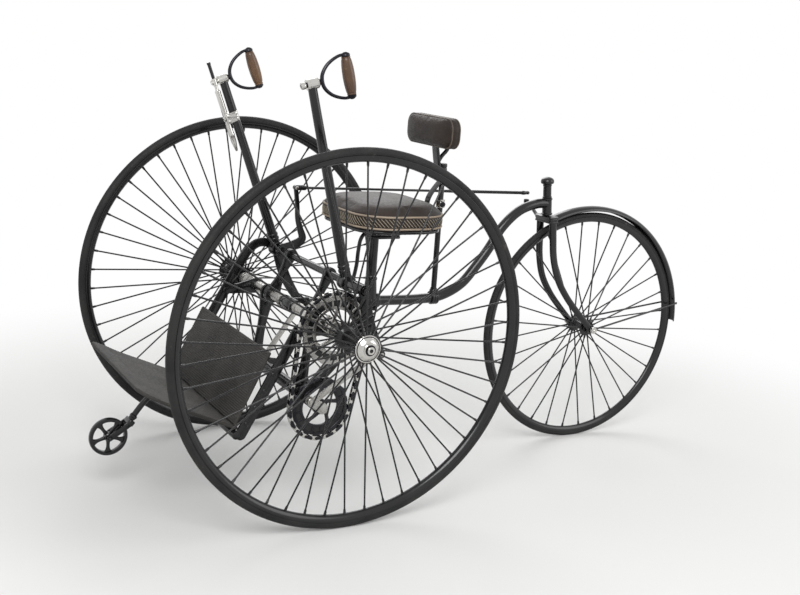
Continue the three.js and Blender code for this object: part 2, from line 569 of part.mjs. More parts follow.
// ---------- footrest and castor ----------
const barDir = V(HEEL.x - REST_BAR_TOP.x, 0, HEEL.z - REST_BAR_TOP.z).normalize();
const onBar = (z) => ({ x: REST_BAR_TOP.x + ((z - REST_BAR_TOP.z) * barDir.x) / barDir.z, z });
const barY = REST_HALF + FIT + REST_BAR_T / 2;
const LINK_Z = AXLE_Z - 14;
function restBar(side, topZ) {
  const y0 = side * barY - REST_BAR_T / 2;
  const y1 = side * barY + REST_BAR_T / 2;
  return link(onBar(topZ), HEEL, REST_BAR_W / 2, REST_BAR_W / 2, y0, y1);
}
const plane = (a, b, t0, t1, y0, y1) => {
  const n = V(b.x - a.x, 0, b.z - a.z).normalize();
  const up = V(-n.z, 0, n.x);
  const at = (p, t) => [p.x + up.x * t, p.z + up.z * t];
  return plate(polygon([at(a, t0), at(b, t0), at(b, t1), at(a, t1)]), y0, y1);
};
const heelFoot = { x: HEEL.x + 10, z: HEEL.z + 12 };
// The calf board leans on the bars, and the sole board runs forward from the heel with a turned-up toe.
const calf = (grow) => plane(
  { x: heelFoot.x + 3, z: heelFoot.z + PLATE_T + 3 }, CALF_TOP, -grow, PLATE_T + grow, -REST_HALF - grow, REST_HALF + grow);
function sole(grow) {
  // [ahead of the heel, above it]
  const bends = [[117, 57], [202, 93], [252, 118]];
  const line = [heelFoot, ...bends.map(([a, h]) => ({ x: HEEL.x + a, z: HEEL.z + h })), TOE];
  const upper = [];
  const lower = [];
  line.forEach((p, i) => {
    const a = line[Math.max(0, i - 1)];
    const b = line[Math.min(line.length - 1, i + 1)];
    const n = V(b.x - a.x, 0, b.z - a.z).normalize();
    upper.push([p.x - n.z * (PLATE_T + grow), p.z + n.x * (PLATE_T + grow)]);
    lower.push([p.x + n.z * grow, p.z - n.x * grow]);
  });
  return plate(polygon([...lower, ...upper.reverse()]), -REST_HALF - grow, REST_HALF + grow);
}
// Corners of the boards are rounded by a wide outline seen from above.
function cornerCutter(x0, x1, r) {
  const s = roundedShape(2 * (x1 - x0), 2 * REST_HALF, r);
  const g = new THREE.ExtrudeGeometry(s, { depth: 700, bevelEnabled: false, curveSegments: 6 });
  g.translate(x1 - (x1 - x0), 0, 0);
  return solid(g);
}
const soleBody = sole(0).intersect(cornerCutter(200, TOE.x, 55));
const linkBolt = (side, grow) => crossRod(onBar(LINK_Z).x, LINK_Z, side * (REST_HALF - 10),
  side * (barY + REST_BAR_T / 2 + 5), 6 + grow, 12);
const HEEL_ROD = { x: HEEL.x + 14, z: HEEL.z - 1 };
const heelRod = crossRod(HEEL_ROD.x, HEEL_ROD.z, -barY - 4, barY + 4, 13);
const TOP_ROD = { x: CALF_TOP.x + 4, z: CALF_TOP.z - 20 };
const topRod = crossRod(TOP_ROD.x, TOP_ROD.z, -barY, barY, 7);
const topEars = [-1, 1].map((s) => link(onBar(TOP_ROD.z - 8), TOP_ROD, 12, 9, s * barY - REST_BAR_T / 2, s * barY + REST_BAR_T / 2));
node("footrest_frame", cut(join(restBar(1, LINK_Z + 12), restBar(-1, FULCRUM.z + 14), heelRod, topRod, topEars,
  link({ x: onBar(FULCRUM.z + 14).x, z: FULCRUM.z + 14 }, FULCRUM, 15, 17, -barY - REST_BAR_T / 2, -barY + REST_BAR_T / 2)),
  calf(FIT), sole(FIT), fulcrumShaft(FIT), linkBolt(1, FIT), linkBolt(-1, FIT)), "enamel");
node("calf_board", calf(0), "leather");
node("sole_board", soleBody, "leather");

for (const [name, side] of [["left", 1], ["right", -1]]) {
  const y = side * (REST_HALF - 6);
  const at = onBar(LINK_Z);
  const arm = link({ x: 0, z: AXLE_Z }, at, 27, 11, y - 6, y + 6);
  node(`${name}_footrest_link`, cut(join(arm, linkBolt(side, 0)), casingOuter(FIT)), "enamel");
}

// Stem of the safety castor: under the sole board from the heel, then down to a small fork.
const FORK_TOP = { x: CASTOR.x - 64, z: CASTOR.z + 42 };
const stem = bar([V(HEEL_ROD.x, 0, HEEL_ROD.z), V(HEEL_ROD.x + 30, 0, HEEL_ROD.z + 13),
  V(HEEL.x + 112, 0, HEEL.z + 46.5), V(HEEL.x + 160, 0, HEEL.z + 57), V(HEEL.x + 196, 0, HEEL.z + 27),
  V(FORK_TOP.x, 0, FORK_TOP.z + 1)], 9, 12, 8);
const castorCrown = block(V(FORK_TOP.x, 0, FORK_TOP.z), V(16, 46, 22), 40 * deg);
const castorBlades = [-1, 1].map((s) => link(FORK_TOP, CASTOR, 8, 9, s * 20 - 3, s * 20 + 3));
const castorPin = crossRod(CASTOR.x, CASTOR.z, -27, 27, 5, 12);
node("castor_stem", cut(join(stem, castorCrown, castorBlades, castorPin), sole(FIT),
  crossRod(HEEL_ROD.x, HEEL_ROD.z, -60, 60, 13 + FIT)), "enamel");

function castorWheel() {
  const rim = cut(crossRod(CASTOR.x, CASTOR.z, -CASTOR_W / 2, CASTOR_W / 2, CASTOR_R, 24),
    crossRod(CASTOR.x, CASTOR.z, -CASTOR_W, CASTOR_W, CASTOR_R - 12, 24));
  const boss = crossRod(CASTOR.x, CASTOR.z, -12, 12, 13, 14);
  const arms = [0, 1, 2, 3, 4].map((i) => {
    const t = ((72 * i + 54) * deg);
    const end = V(CASTOR.x + (CASTOR_R - 8) * Math.cos(t), 0, CASTOR.z + (CASTOR_R - 8) * Math.sin(t));
    return rod(V(CASTOR.x, 0, CASTOR.z), end, 5, 7.5, 6);
  });
  return cut(join(rim, boss, arms), crossRod(CASTOR.x, CASTOR.z, -30, 30, 5 + RUN, 14));
}
node("castor_wheel", castorWheel(), "enamel");

// ---------- seat ----------
const seatUnder = SEAT.low - SEAT_BASE_T - FIT;
const baseGeometry = new THREE.ExtrudeGeometry(roundedShape(SEAT.long - 14, SEAT_WIDE - 14, SEAT.corner - 7), {
  depth: SEAT_BASE_T, bevelEnabled: false, curveSegments: 6,
}).translate(SEAT.x, 0, seatUnder);
node("seat_base", solid(baseGeometry), "enamel");
node("seat_cushion", solid(cushion(SEAT.long, SEAT_WIDE, SEAT.corner, SEAT.thick, 16)
  .translate(SEAT.x, 0, SEAT.low)), "leather");

// The pillar stands in a clip on the backbone and carries a spring bar under the seat.
const SEAT_BAR = { front: PILLAR_X + 18, back: PILLAR_X - 92, low: seatUnder - 46 }; // spring bar under the seat plate
const pillar = join(
  rod(V(PILLAR_X, 0, AXLE_Z), V(PILLAR_X - 5, 0, seatUnder - 14), PILLAR_R + 2, PILLAR_R, 18),
  rod(V(PILLAR_X, 0, AXLE_Z), V(PILLAR_X - 2, 0, AXLE_Z + 74), CLIP_R, PILLAR_R + 4, 18),
  rod(V(PILLAR_X - 32, 0, AXLE_Z), V(PILLAR_X + 32, 0, AXLE_Z), CLIP_R + 1, CLIP_R + 1, 16),
  block(V(PILLAR_X - 30, 0, seatUnder - FIT - 8), V(130, 60, 16)),
  block(V((SEAT_BAR.front + SEAT_BAR.back) / 2, 0, SEAT_BAR.low + 16),
    V(SEAT_BAR.front - SEAT_BAR.back, 44, 32)),
);
node("seat_pillar", cut(pillar, backbone(FIT)), "enamel");
// The stay rises ahead of the pillar and hooks back to a flange on the front of the spring bar.
// [ahead of the pillar, share of the height up to the seat]
const STAY_LINE = [[80, 0.02], [56, 0.48], [53, 0.66], [47, 0.81], [36, 0.875]];
const hook = V(SEAT_BAR.front + FIT + 3, 0, SEAT_BAR.low + 16);
node("seat_stay", cut(join(
  bar([...STAY_LINE.map(([a, u]) => V(PILLAR_X + a, 0, AXLE_Z + u * (seatUnder - AXLE_Z))), hook], 6.5, 12, 8),
  rod(V(PILLAR_X + 67, 0, AXLE_Z), V(PILLAR_X + 95, 0, AXLE_Z), CLIP_R - 1, CLIP_R - 1, 16),
  block(hook, V(6, 34, 22)),
), backbone(FIT)), "enamel");

// ---------- back rest ----------
const post = join(
  rod(V(POST_X, 0, AXLE_Z), V(POST_X, 0, POST_TOP), POST_R, POST_R, 16),
  rod(V(POST_X - 13, 0, AXLE_Z), V(POST_X + 13, 0, AXLE_Z), CLIP_R - 1, CLIP_R - 1, 16),
);
node("back_post", cut(post, backbone(FIT)), "enamel");
const postHole = (grow) => rod(V(POST_X, 0, AXLE_Z + 140), V(POST_X, 0, POST_TOP + grow), POST_R + grow, POST_R + grow, 16);
const CLAMP_Z = POST_TOP - 126;
node("post_clamp", cut(join(
  rod(V(POST_X, 0, CLAMP_Z - 14), V(POST_X, 0, CLAMP_Z + 14), POST_R + 6.5, POST_R + 6.5, 18),
  rod(V(POST_X - 12, 8, CLAMP_Z), V(POST_X - 20, 24, CLAMP_Z), 4, 4, 10),
  rod(V(POST_X - 19, 22, CLAMP_Z), V(POST_X - 22, 29, CLAMP_Z), 10, 10, 14),
), postHole(FIT)), "plated");

const padBack = PAD.x - PAD.deep / 2;
const padFoot = PAD.z - PAD.high / 2;
const BRACKET_HALF = 18;
node("pad_bracket", cut(join(
  rod(V(POST_X, 0, POST_TOP - 33), V(POST_X, 0, POST_TOP + 10), POST_R + 4.5, POST_R + 4.5, 18),
  plate(polygon([[POST_X + 3, POST_TOP - 31], [POST_X + 20, POST_TOP - 24], [POST_X + 33, POST_TOP], [PAD.x, padFoot - 10],
    [PAD.x + 1, padFoot - FIT], [PAD.x - 8, padFoot - FIT], [PAD.x - 9, padFoot - 10], [POST_X + 24, POST_TOP + 4],
    [POST_X + 15, POST_TOP - 14], [POST_X + 3, POST_TOP - 20]]), -BRACKET_HALF, BRACKET_HALF),
  bar([V(POST_X + 28, 0, POST_TOP + 20), V(padBack - 12, 0, POST_TOP + 38), V(padBack - 25, 0, padFoot - 8),
    V(padBack - 24, 0, padFoot + 17), V(padBack - 10, 0, PAD.z - 6)], 6, 10, 8),
  block(V(padBack - FIT - 4.5, 0, PAD.z), V(9, 150, 60)),
), postHole(FIT), block(V(PAD.x, 0, PAD.z), V(PAD.deep + 2 * FIT, PAD.wide + 2 * FIT, PAD.high + 2 * FIT))), "enamel");
const padGeometry = cushion(PAD.high, PAD.wide, PAD.corner, PAD.deep, 14);
padGeometry.rotateY(Math.PI / 2);
padGeometry.translate(padBack, 0, PAD.z);
node("back_pad", solid(padGeometry), "leather");

const seatRear = SEAT.x - SEAT.long / 2;
const seatTop = SEAT.low + SEAT.thick;
const STRAP_Z = POST_TOP - 37;
node("seat_strap", cut(join(
  rod(V(POST_X, 0, STRAP_Z - 25), V(POST_X, 0, STRAP_Z), POST_R + 5, POST_R + 5, 18),
  plate(polygon([[POST_X + 6, STRAP_Z - 3], [POST_X + 8, STRAP_Z - 20], [seatRear - 14, seatTop - 6],
    [seatRear - 14, seatUnder - 8], [seatRear + 60, seatUnder - 8], [seatRear + 60, seatUnder - FIT],
    [seatRear - 7, seatUnder - FIT], [seatRear - 7, seatTop + 2]]), -14, 14),
), postHole(FIT)), "enamel");

// ---------- steering ----------
const collarOn = (from, to, r, r1 = r) => rod(onAxis(from), onAxis(to), r, r1, 14);
const CROWN_TOP = HEAD_LOW - 2;
const crownAt = onAxis(CROWN_TOP - 12);
const SLEEVE_R = COLUMN_R + 5.5;
const CAP_HEAD_R = 24;
node("steering_column", turnedAlong([
  [0, CROWN_TOP - 8], [COLUMN_R, CROWN_TOP - 8], [COLUMN_R, HEAD_HIGH + RUN], [SLEEVE_R, HEAD_HIGH + RUN],
  [SLEEVE_R, COLUMN_TOP - 8], [CAP_HEAD_R - 1, COLUMN_TOP - 8], [CAP_HEAD_R, COLUMN_TOP],
  [CAP_HEAD_R * 0.5, COLUMN_TOP + 9], [0, COLUMN_TOP + 9],
], onAxis(0), axisDir, 14), "enamel");

// The arm rises from the crown's right side to an eye under the rod's end.
const CROWN = V(40, 2 * BLADE_TOP_Y + 24, 22);
const crownBlock = (grow) => block(V(crownAt.x, 0, crownAt.z),
  V(CROWN.x + 2 * grow, CROWN.y + 2 * grow, CROWN.z + 2 * grow), HEAD_TILT * deg);
const ARM_EYE_Z = STEER_PIN.z - 30; // the rod's end sinks 11 mm at full lock
node("steering_arm", cut(join(
  bar([V(crownAt.x, -CROWN.y / 2 + 4, crownAt.z), V(crownAt.x - 2, -CROWN.y / 2 - 14, crownAt.z + 3),
    V(STEER_PIN.x + 2, STEER_PIN.y + 26, ARM_EYE_Z - 8), V(STEER_PIN.x, STEER_PIN.y, ARM_EYE_Z)], 7, 8, 10),
  rod(V(STEER_PIN.x, STEER_PIN.y, ARM_EYE_Z - 7), V(STEER_PIN.x, STEER_PIN.y, ARM_EYE_Z + 7), 10, 10, 14),
  crossRod(crownAt.x, crownAt.z, -CROWN.y / 2 - FIT - 8, -CROWN.y / 2 - FIT, 10, 14),
), crownBlock(FIT)), "enamel");

const guardRing = (grow) => {
  const w = GUARD_W / 2 + grow;
  const o = GUARD_R + GUARD_T + grow;
  const n = GUARD_R - grow;
  return turned([
    [n - 7, -w], [n - 2, -w * 0.55], [n, 0], [n - 2, w * 0.55], [n - 7, w],
    [o - 7, w], [o - 2, w * 0.55], [o, 0], [o - 2, -w * 0.55], [o - 7, -w], [n - 7, -w],
  ].reverse(), REAR_X, REAR_R, 60);
};
function guardWedge(from, to) {
  const p = [[REAR_X, REAR_R]];
  for (let i = 0; i <= 8; i++) {
    const t = (from + ((to - from) * i) / 8) * deg;
    p.push([REAR_X + 560 * Math.cos(t), REAR_R + 560 * Math.sin(t)]);
  }
  return plate(polygon(p), -80, 80);
}
const GUARD_FROM = Math.acos((CROWN_AHEAD - 8) / GUARD_R) / deg;
const GUARD_TO = 178;
node("rear_mudguard", guardRing(0).intersect(guardWedge(GUARD_FROM, GUARD_TO)), "enamel");

// A blade's line from the crown to the axle: shares of the way back, down and out.
const BLADE_LINE = [
  [0, 0, 0], [0.03, 0.158, 0.1], [0.075, 0.344, 0.27], [0.2, 0.537, 0.55], [0.42, 0.703, 0.77],
  [0.7, 0.854, 0.95], [1, 1, 1],
];
function blade(side) {
  const top = crownAt;
  return join(
    bar([
      ...BLADE_LINE.map(([back, down, out]) => V(top.x + back * (REAR_X - top.x),
        side * (BLADE_TOP_Y + out * (BLADE_LOW_Y - BLADE_TOP_Y)), top.z + down * (REAR_R - top.z))),
    ], BLADE_R, 13, 8),
    crossRod(REAR_X, REAR_R, side * (BLADE_LOW_Y - 8), side * (BLADE_LOW_Y + 8), 15),
  );
}
const rearAxleRod = (grow) => crossRod(REAR_X, REAR_R, -88, 88, REAR_AXLE_R + grow, 12);
node("rear_fork", cut(join(
  crownBlock(0), blade(1), blade(-1),
), collarOn(-200, 20, COLUMN_R + FIT), guardRing(FIT).intersect(guardWedge(GUARD_FROM - 1, 90)), rearAxleRod(FIT)), "enamel");

const nuts = [-1, 1].map((s) => crossRod(REAR_X, REAR_R, s * (BLADE_LOW_Y + 15), s * (BLADE_LOW_Y + 25), 12, 6));
node("rear_axle", join(rearAxleRod(0), nuts), "plated");
for (const [name, side] of [["left", 1], ["right", -1]]) {
  const t = 171 * deg;
  const far = V(REAR_X + (GUARD_R - 4) * Math.cos(t), side * (GUARD_W / 2 + 2), REAR_R + (GUARD_R - 4) * Math.sin(t));
  const y = BLADE_LOW_Y + 12.8;
  const eye = crossRod(REAR_X, REAR_R, side * (y - 2), side * (y + 2), 12);
  node(`${name}_guard_stay`, cut(join(eye, rod(V(REAR_X, side * y, REAR_R), far, 2.4, 2.4, 8)),
    rearAxleRod(FIT), guardRing(FIT)), "enamel");
}

// Front steering lever: a bent arm on the lever shaft.
const frontBend = { x: FULCRUM.x - 75, z: FULCRUM.z + 38 };
const frontNeck = { x: STEER_EYE.x - 13, z: STEER_EYE.z - 105 };
const frontPlate = join(
  link(FULCRUM, frontBend, 19, 10, STEER_EYE.y - 5, STEER_EYE.y + 5),
  link(frontBend, frontNeck, 10, 8, STEER_EYE.y - 5, STEER_EYE.y + 5),
  link(frontNeck, STEER_EYE, 8, 8, STEER_EYE.y - 5, STEER_EYE.y + 5),
  crossRod(FULCRUM.x, FULCRUM.z, STEER_EYE.y - 5, STEER_EYE.y + 16, 20),
);
node("front_steering_lever", cut(frontPlate, fulcrumShaft(RUN),
  crossRod(STEER_EYE.x, STEER_EYE.z, STEER_EYE.y - 40, STEER_EYE.y + 40, 4 + FIT, 14)), "enamel");

// The rod's front end is a fork over the lever's eye; its rear pin stops short under the steering arm.
const EYE_T = 10;
const FORK_REACH = 25;
const CHEEK_GAP = 1.6;
const rodRear = V(STEER_PIN.x, STEER_PIN.y, STEER_PIN.z);
const rodAhead = V(STEER_EYE.x, STEER_EYE.y, STEER_EYE.z);
const rodDir = rodRear.clone().sub(rodAhead).normalize();
const onRod = (s) => rodAhead.clone().add(rodDir.clone().multiplyScalar(s));
const forkCheeks = [-1, 1].map((s) => {
  const y = STEER_EYE.y + s * (EYE_T / 2 + CHEEK_GAP + 2);
  const back = onRod(FORK_REACH + 4);
  return link(STEER_EYE, { x: back.x, z: back.z }, 7.5, 7.5, y - 2, y + 2);
});
node("steering_rod", join(
  rod(onRod(FORK_REACH + 2), rodRear, STEER_ROD_R, STEER_ROD_R, 12),
  rod(onRod(FORK_REACH), onRod(FORK_REACH + 12), 7.5, 6, 14),
  forkCheeks,
  crossRod(STEER_EYE.x, STEER_EYE.z, STEER_EYE.y - 13, STEER_EYE.y + 13, 4, 14),
  rod(V(rodRear.x, rodRear.y, rodRear.z - 5), V(rodRear.x, rodRear.y, rodRear.z + 7), 9, 9, 16),
), "enamel");

export default group;
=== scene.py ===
"""Hand-lever tricycle: smooth surfaces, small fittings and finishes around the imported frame.

Design places are given in millimetres from the point of the ground under the main axle: x ahead, y to the
machine's left, z up. `at` turns them into metres in the frame's own axes.
"""
import json
import logging
import math
from dataclasses import dataclass, field
from enum import Enum

import bmesh
import bpy
import numpy as np
from mathutils import Matrix


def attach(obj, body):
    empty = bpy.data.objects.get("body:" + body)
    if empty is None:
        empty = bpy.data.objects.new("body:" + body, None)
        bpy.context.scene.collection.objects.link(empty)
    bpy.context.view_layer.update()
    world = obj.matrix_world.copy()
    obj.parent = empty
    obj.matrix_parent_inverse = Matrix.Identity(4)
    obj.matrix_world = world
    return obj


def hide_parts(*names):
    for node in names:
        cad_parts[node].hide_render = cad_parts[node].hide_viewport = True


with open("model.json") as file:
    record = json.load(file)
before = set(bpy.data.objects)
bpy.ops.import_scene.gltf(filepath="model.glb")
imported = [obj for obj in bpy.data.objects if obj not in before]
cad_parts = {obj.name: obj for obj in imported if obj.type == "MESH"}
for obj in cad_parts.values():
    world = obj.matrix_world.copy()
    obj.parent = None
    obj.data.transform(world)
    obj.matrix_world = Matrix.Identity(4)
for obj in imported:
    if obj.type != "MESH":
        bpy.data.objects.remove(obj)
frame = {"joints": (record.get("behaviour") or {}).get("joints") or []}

LOG = logging.getLogger("tricycle")
Array = np.ndarray
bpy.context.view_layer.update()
JOINTS: dict[str, Array] = {j["name"]: np.array(j["pos_m"], float) for j in frame["joints"]}
AXLE_X: float = float(JOINTS["left_wheel_spin"][0])
X_AXIS, Y_AXIS, Z_AXIS = np.eye(3)
TURN: float = 2 * math.pi
HEAD_TILT: float = math.radians(5)
HEAD_AXIS: Array = np.array([math.sin(HEAD_TILT), 0, math.cos(HEAD_TILT)])
# How far each hand lever leans back, in degrees.
LEANS: dict[str, float] = {"left": 14.5, "right": 21.5}

Spot = tuple[float, float]
Place = tuple[float, float, float]
Profile = list[Spot]

# Lines across the machine, as [x, z]: the driving axle, the shaft of the levers, and the crankshaft.
AXLE: Spot = (0.0, 560.0)
PIVOT: Spot = (-60.0, 690.0)
CRANK: Spot = (35.0, 328.0)


# ---- places and lines
def at(x: Array | float, y: Array | float, z: Array | float) -> Array:
    """Design millimetres to metres in the frame: x ahead of the main axle, y to the left, z upwards."""
    places = np.divide(x, 1000) + AXLE_X, np.divide(y, 1000), np.divide(z, 1000)
    return np.stack(np.broadcast_arrays(*places), -1)


def on(line: Spot, y: float) -> Array:
    """The place in the plane y on a line across the machine, which is given as [x, z]."""
    return at(line[0], y, line[1])


def unit(v: Array) -> Array:
    """The direction of v, or of each row of v."""
    return v / np.linalg.norm(v, axis=-1, keepdims=True)


def spline(points: Array, steps: int = 14) -> Array:
    """A smooth line through points: a cubic piece between neighbours whose end slopes come from the points on
    both sides, with the spacing of the knots the square root of the distance between them.

    Args:
        points: The points, one a row.
        steps: Places on each piece.

    Returns:
        The points of the line.
    """
    p = np.vstack([2 * points[0] - points[1], points, 2 * points[-1] - points[-2]])
    gap = np.sqrt(np.linalg.norm(np.diff(p, axis=0), axis=1))[:, None]
    slope = np.diff(p, axis=0) / gap
    wide = (p[2:] - p[:-2]) / (gap[1:] + gap[:-1])
    tangent = slope[:-1] - wide + slope[1:]
    u = np.arange(steps)[None, :, None] / steps
    a, b = points[:-1, None], points[1:, None]
    ta = (tangent[:-1] * gap[1:-1])[:, None]
    tb = (tangent[1:] * gap[1:-1])[:, None]
    line = ((2 * u**3 - 3 * u**2 + 1) * a + (u**3 - 2 * u**2 + u) * ta
            + (3 * u**2 - 2 * u**3) * b + (u**3 - u**2) * tb)
    return np.vstack([line.reshape(-1, 3), points[-1:]])


def side_curve(y: float, points: list[Spot] | tuple[Spot, ...], steps: int = 14) -> Array:
    """A smooth line through design [x, z] places in the plane y, in metres."""
    x, z = np.transpose(points)
    return spline(at(x, y, z), steps)


def heading(t: Array | float) -> Array:
    """Unit [x, z] directions at angles t from straight ahead."""
    return np.stack([np.cos(t), np.sin(t)], -1)


def round_turn(count: int) -> Array:
    """Evenly spaced angles round a whole turn."""
    return np.linspace(0, TURN, count, endpoint=False)


def along_line(line: Array) -> Array:
    """How far along a line of straight pieces each of its points lies."""
    return np.concatenate([[0], np.cumsum(np.linalg.norm(np.diff(line, axis=0), axis=1))])


def between(a: Array, b: Array, count: int) -> Array:
    """Evenly spaced points from a to b."""
    u = np.linspace(0, 1, count)[:, None]
    return a * (1 - u) + b * u


# ---- surfaces
@dataclass
class Surface:
    """One closed form: its corners, its four-sided faces and its flat end faces."""

    points: Array
    quads: Array
    caps: list[Array] = field(default_factory=list)

    def copies(self, origins: Array, frames: Array) -> "Surface":
        """Copies of the form, each turned by a matrix and set at an origin.

        Args:
            origins: One origin a copy.
            frames: One matrix of three columns a copy.

        Returns:
            All the copies as one form.
        """
        n, count = len(self.points), len(origins)
        points = np.einsum("kij,nj->kni", frames, self.points) + origins[:, None]
        step = np.arange(count)[:, None, None] * n
        caps = [c + k * n for k in range(count) for c in self.caps]
        return Surface(points.reshape(-1, 3), (self.quads[None] + step).reshape(-1, 4), caps)


def skin(rings: Array, closed_u: bool = False, capped: bool = True) -> Surface:
    """A grid of points as a skin: each ring is joined to the next, and its last point to its first.

    Args:
        rings: Points as [ring, place on the ring, xyz].
        closed_u: Whether the last ring joins the first.
        capped: Whether the first and last rings are filled.

    Returns:
        The skin.
    """
    u, v = rings.shape[:2]
    i = np.arange(u if closed_u else u - 1)[:, None]
    j = np.arange(v)[None, :]
    a, b = (i % u) * v, ((i + 1) % u) * v
    quads = np.stack([a + j, a + (j + 1) % v, b + (j + 1) % v, b + j], -1).reshape(-1, 4)
    ends = [] if closed_u or not capped else [np.arange(v)[::-1], (u - 1) * v + np.arange(v)]
    return Surface(rings.reshape(-1, 3), quads, ends)


def side_frame(tangent: Array, across: Array) -> tuple[Array, Array]:
    """Two directions square to each tangent: the one nearest to across, and the one square to both."""
    n = unit(across - np.sum(across * tangent, -1, keepdims=True) * tangent)
    return n, np.cross(tangent, n)


def sweep(path: Array, radius: float | Array, sides: int = 20, across: Array = Y_AXIS,
          closed: bool = False, power: float = 2.0) -> Surface:
    """Carries an oval section along a path. A section point lies at r1 * cos t across and r2 * sin t along
    the other normal, with both raised to 2 / power, so that a power above 2 squares the section.

    Args:
        path: Points of the path in metres.
        radius: One radius, one for each point, or a pair for each point.
        sides: Points round the section.
        across: A direction that is never along the path.
        closed: Whether the path is a loop.
        power: 2 for an ellipse, more for a squarer section.

    Returns:
        The tube.
    """
    tangent = unit(np.roll(path, -1, 0) - np.roll(path, 1, 0)) if closed else unit(np.gradient(path, axis=0))
    n, b = side_frame(tangent, across)
    r = np.broadcast_to(np.asarray(radius, float).reshape(-1, 1) if np.ndim(radius) == 1 else radius,
                        (len(path), 2))
    t = round_turn(sides)
    c, s = np.cos(t), np.sin(t)
    c, s = np.sign(c) * np.abs(c) ** (2 / power), np.sign(s) * np.abs(s) ** (2 / power)
    rings = path[:, None] + r[:, 0, None, None] * c[None, :, None] * n[:, None] \
        + r[:, 1, None, None] * s[None, :, None] * b[:, None]
    return skin(rings, closed_u=closed)


def lathe(profile: Profile | Array, centre: Array, axis: Array = Y_AXIS, sides: int = 48,
          ring: bool = False) -> Surface:
    """Turns a profile round a line. A point is centre + along * axis + radius * (cos t * e1 + sin t * e2).

    Args:
        profile: Pairs of [along, radius] in millimetres.
        centre: Where along is nought, in metres.
        axis: Direction of the line.
        sides: Facets round it.
        ring: Whether the profile is a loop of its own.

    Returns:
        The turned form.
    """
    p = np.asarray(profile, float) / 1000
    axis = unit(np.asarray(axis, float))
    e1 = unit(np.cross(axis, X_AXIS if abs(axis[0]) < 0.8 else Z_AXIS))
    e2 = np.cross(axis, e1)
    t = round_turn(sides)
    round_it = np.cos(t)[:, None] * e1 + np.sin(t)[:, None] * e2
    rings = centre + p[:, 0, None, None] * axis + p[:, 1, None, None] * round_it
    return skin(rings, closed_u=ring)


def mirrored(half: Profile) -> Profile:
    """A profile's outer half, with its mirror image put before it."""
    return [(-a, r) for a, r in half[::-1]] + half


def drum(centre: Array, axis: Array, half: float, r: float, edge: Spot, sides: int = 32,
         bore: float = 0.0) -> Surface:
    """A round boss of a half length and a radius, chamfered at both ends by edge: so far along, so deep."""
    profile = mirrored([(half - edge[0], r), (half, r - edge[1]), (half, bore)])
    return lathe(profile, centre, axis, sides, ring=bore > 0)


def slab(outline: Array, low: float, high: float, edge: float, origin: Array,
         frame_xy: tuple[Array, Array]) -> Surface:
    """A flat outline given thickness. It is copied at rising heights, drawn in along its inward normals by
    the whole edge at both faces, by 0.3 of it next to them, and not at all between.

    Args:
        outline: Pairs of millimetres, anticlockwise.
        low: Lower face along the third axis, in millimetres.
        high: Upper face.
        edge: Width of the eased edge.
        origin: Where the outline's zero lies, in metres.
        frame_xy: The outline's two axes.

    Returns:
        The plate.
    """
    tangent = unit(np.roll(outline, -1, 0) - np.roll(outline, 1, 0))
    inward = np.stack([-tangent[:, 1], tangent[:, 0]], 1)
    up = np.cross(*frame_xy)
    part = edge * 0.3
    drawn = [(edge, low), (part, low + part), (0, low + edge), (0, high - edge), (part, high - part),
             (edge, high)]
    rings = [origin + ((outline + inward * inset) @ np.stack(frame_xy) + h * up) / 1000 for inset, h in drawn]
    return skin(np.stack(rings))


def side_slab(outline: Array, y0: float, y1: float, edge: float = 0.8) -> Surface:
    """A plate whose outline is in design [x, z] and whose thickness runs from y0 up to y1."""
    return slab(outline[::-1] * [1, -1], y0, y1, edge, at(0, 0, 0), (X_AXIS, -Z_AXIS))


def link_outline(a: Spot, b: Spot, ra: float, rb: float, steps: int = 16, waist: float = 0.0) -> Array:
    """A bar's outline with a half circle round each end. Its sides are straight, or draw in between the ends
    by half a sine to the power 1.2.

    Args:
        a: One end as [x, z].
        b: The other end.
        ra: Radius round a.
        rb: Radius round b.
        steps: Points on each half circle.
        waist: How far each side draws in at the middle.

    Returns:
        The outline, anticlockwise.
    """
    way = np.subtract(b, a)
    t = math.atan2(way[1], way[0]) + math.pi / 2
    turn = np.linspace(0, math.pi, steps)
    first, last = a + ra * heading(t + turn), b + rb * heading(t - math.pi + turn)
    if not waist:
        return np.vstack([first, last])
    u = np.linspace(0, 1, 18)[1:-1, None]
    mid, out = a + u * way, (ra + (rb - ra) * u - waist * np.sin(math.pi * u) ** 1.2) * heading(t)
    return np.vstack([first, mid - out, last, (mid + out)[::-1]])


def round_rect(w: float, h: float, r: float, steps: int = 8) -> Array:
    """A rectangle's outline with a quarter circle at each corner.

    Args:
        w: Width.
        h: Height.
        r: Radius of the corners.
        steps: Points on each quarter circle.

    Returns:
        The outline, anticlockwise.
    """
    turn = np.linspace(0, math.pi / 2, steps)
    x, y = w / 2 - r, h / 2 - r
    corners = [(x, y, 0.0), (-x, y, 0.5), (-x, -y, 1.0), (x, -y, 1.5)]
    return np.vstack([np.stack([a + r * np.cos(turn + q * math.pi), b + r * np.sin(turn + q * math.pi)], 1)
                      for a, b, q in corners])


def tube(a: Array, b: Array, r: float, sides: int = 28, edge: float = 0.8) -> Surface:
    """A round bar with eased ends.

    Args:
        a: One end in metres.
        b: The other end.
        r: Radius in millimetres.
        sides: Facets round it.
        edge: Width of the eased edges.

    Returns:
        The bar.
    """
    half = float(np.linalg.norm(b - a)) * 500
    end = [(half - edge, r), (half - edge * 0.3, r - edge * 0.3), (half, r - edge), (half, 0)]
    return lathe(mirrored(end), (a + b) / 2, b - a, sides)


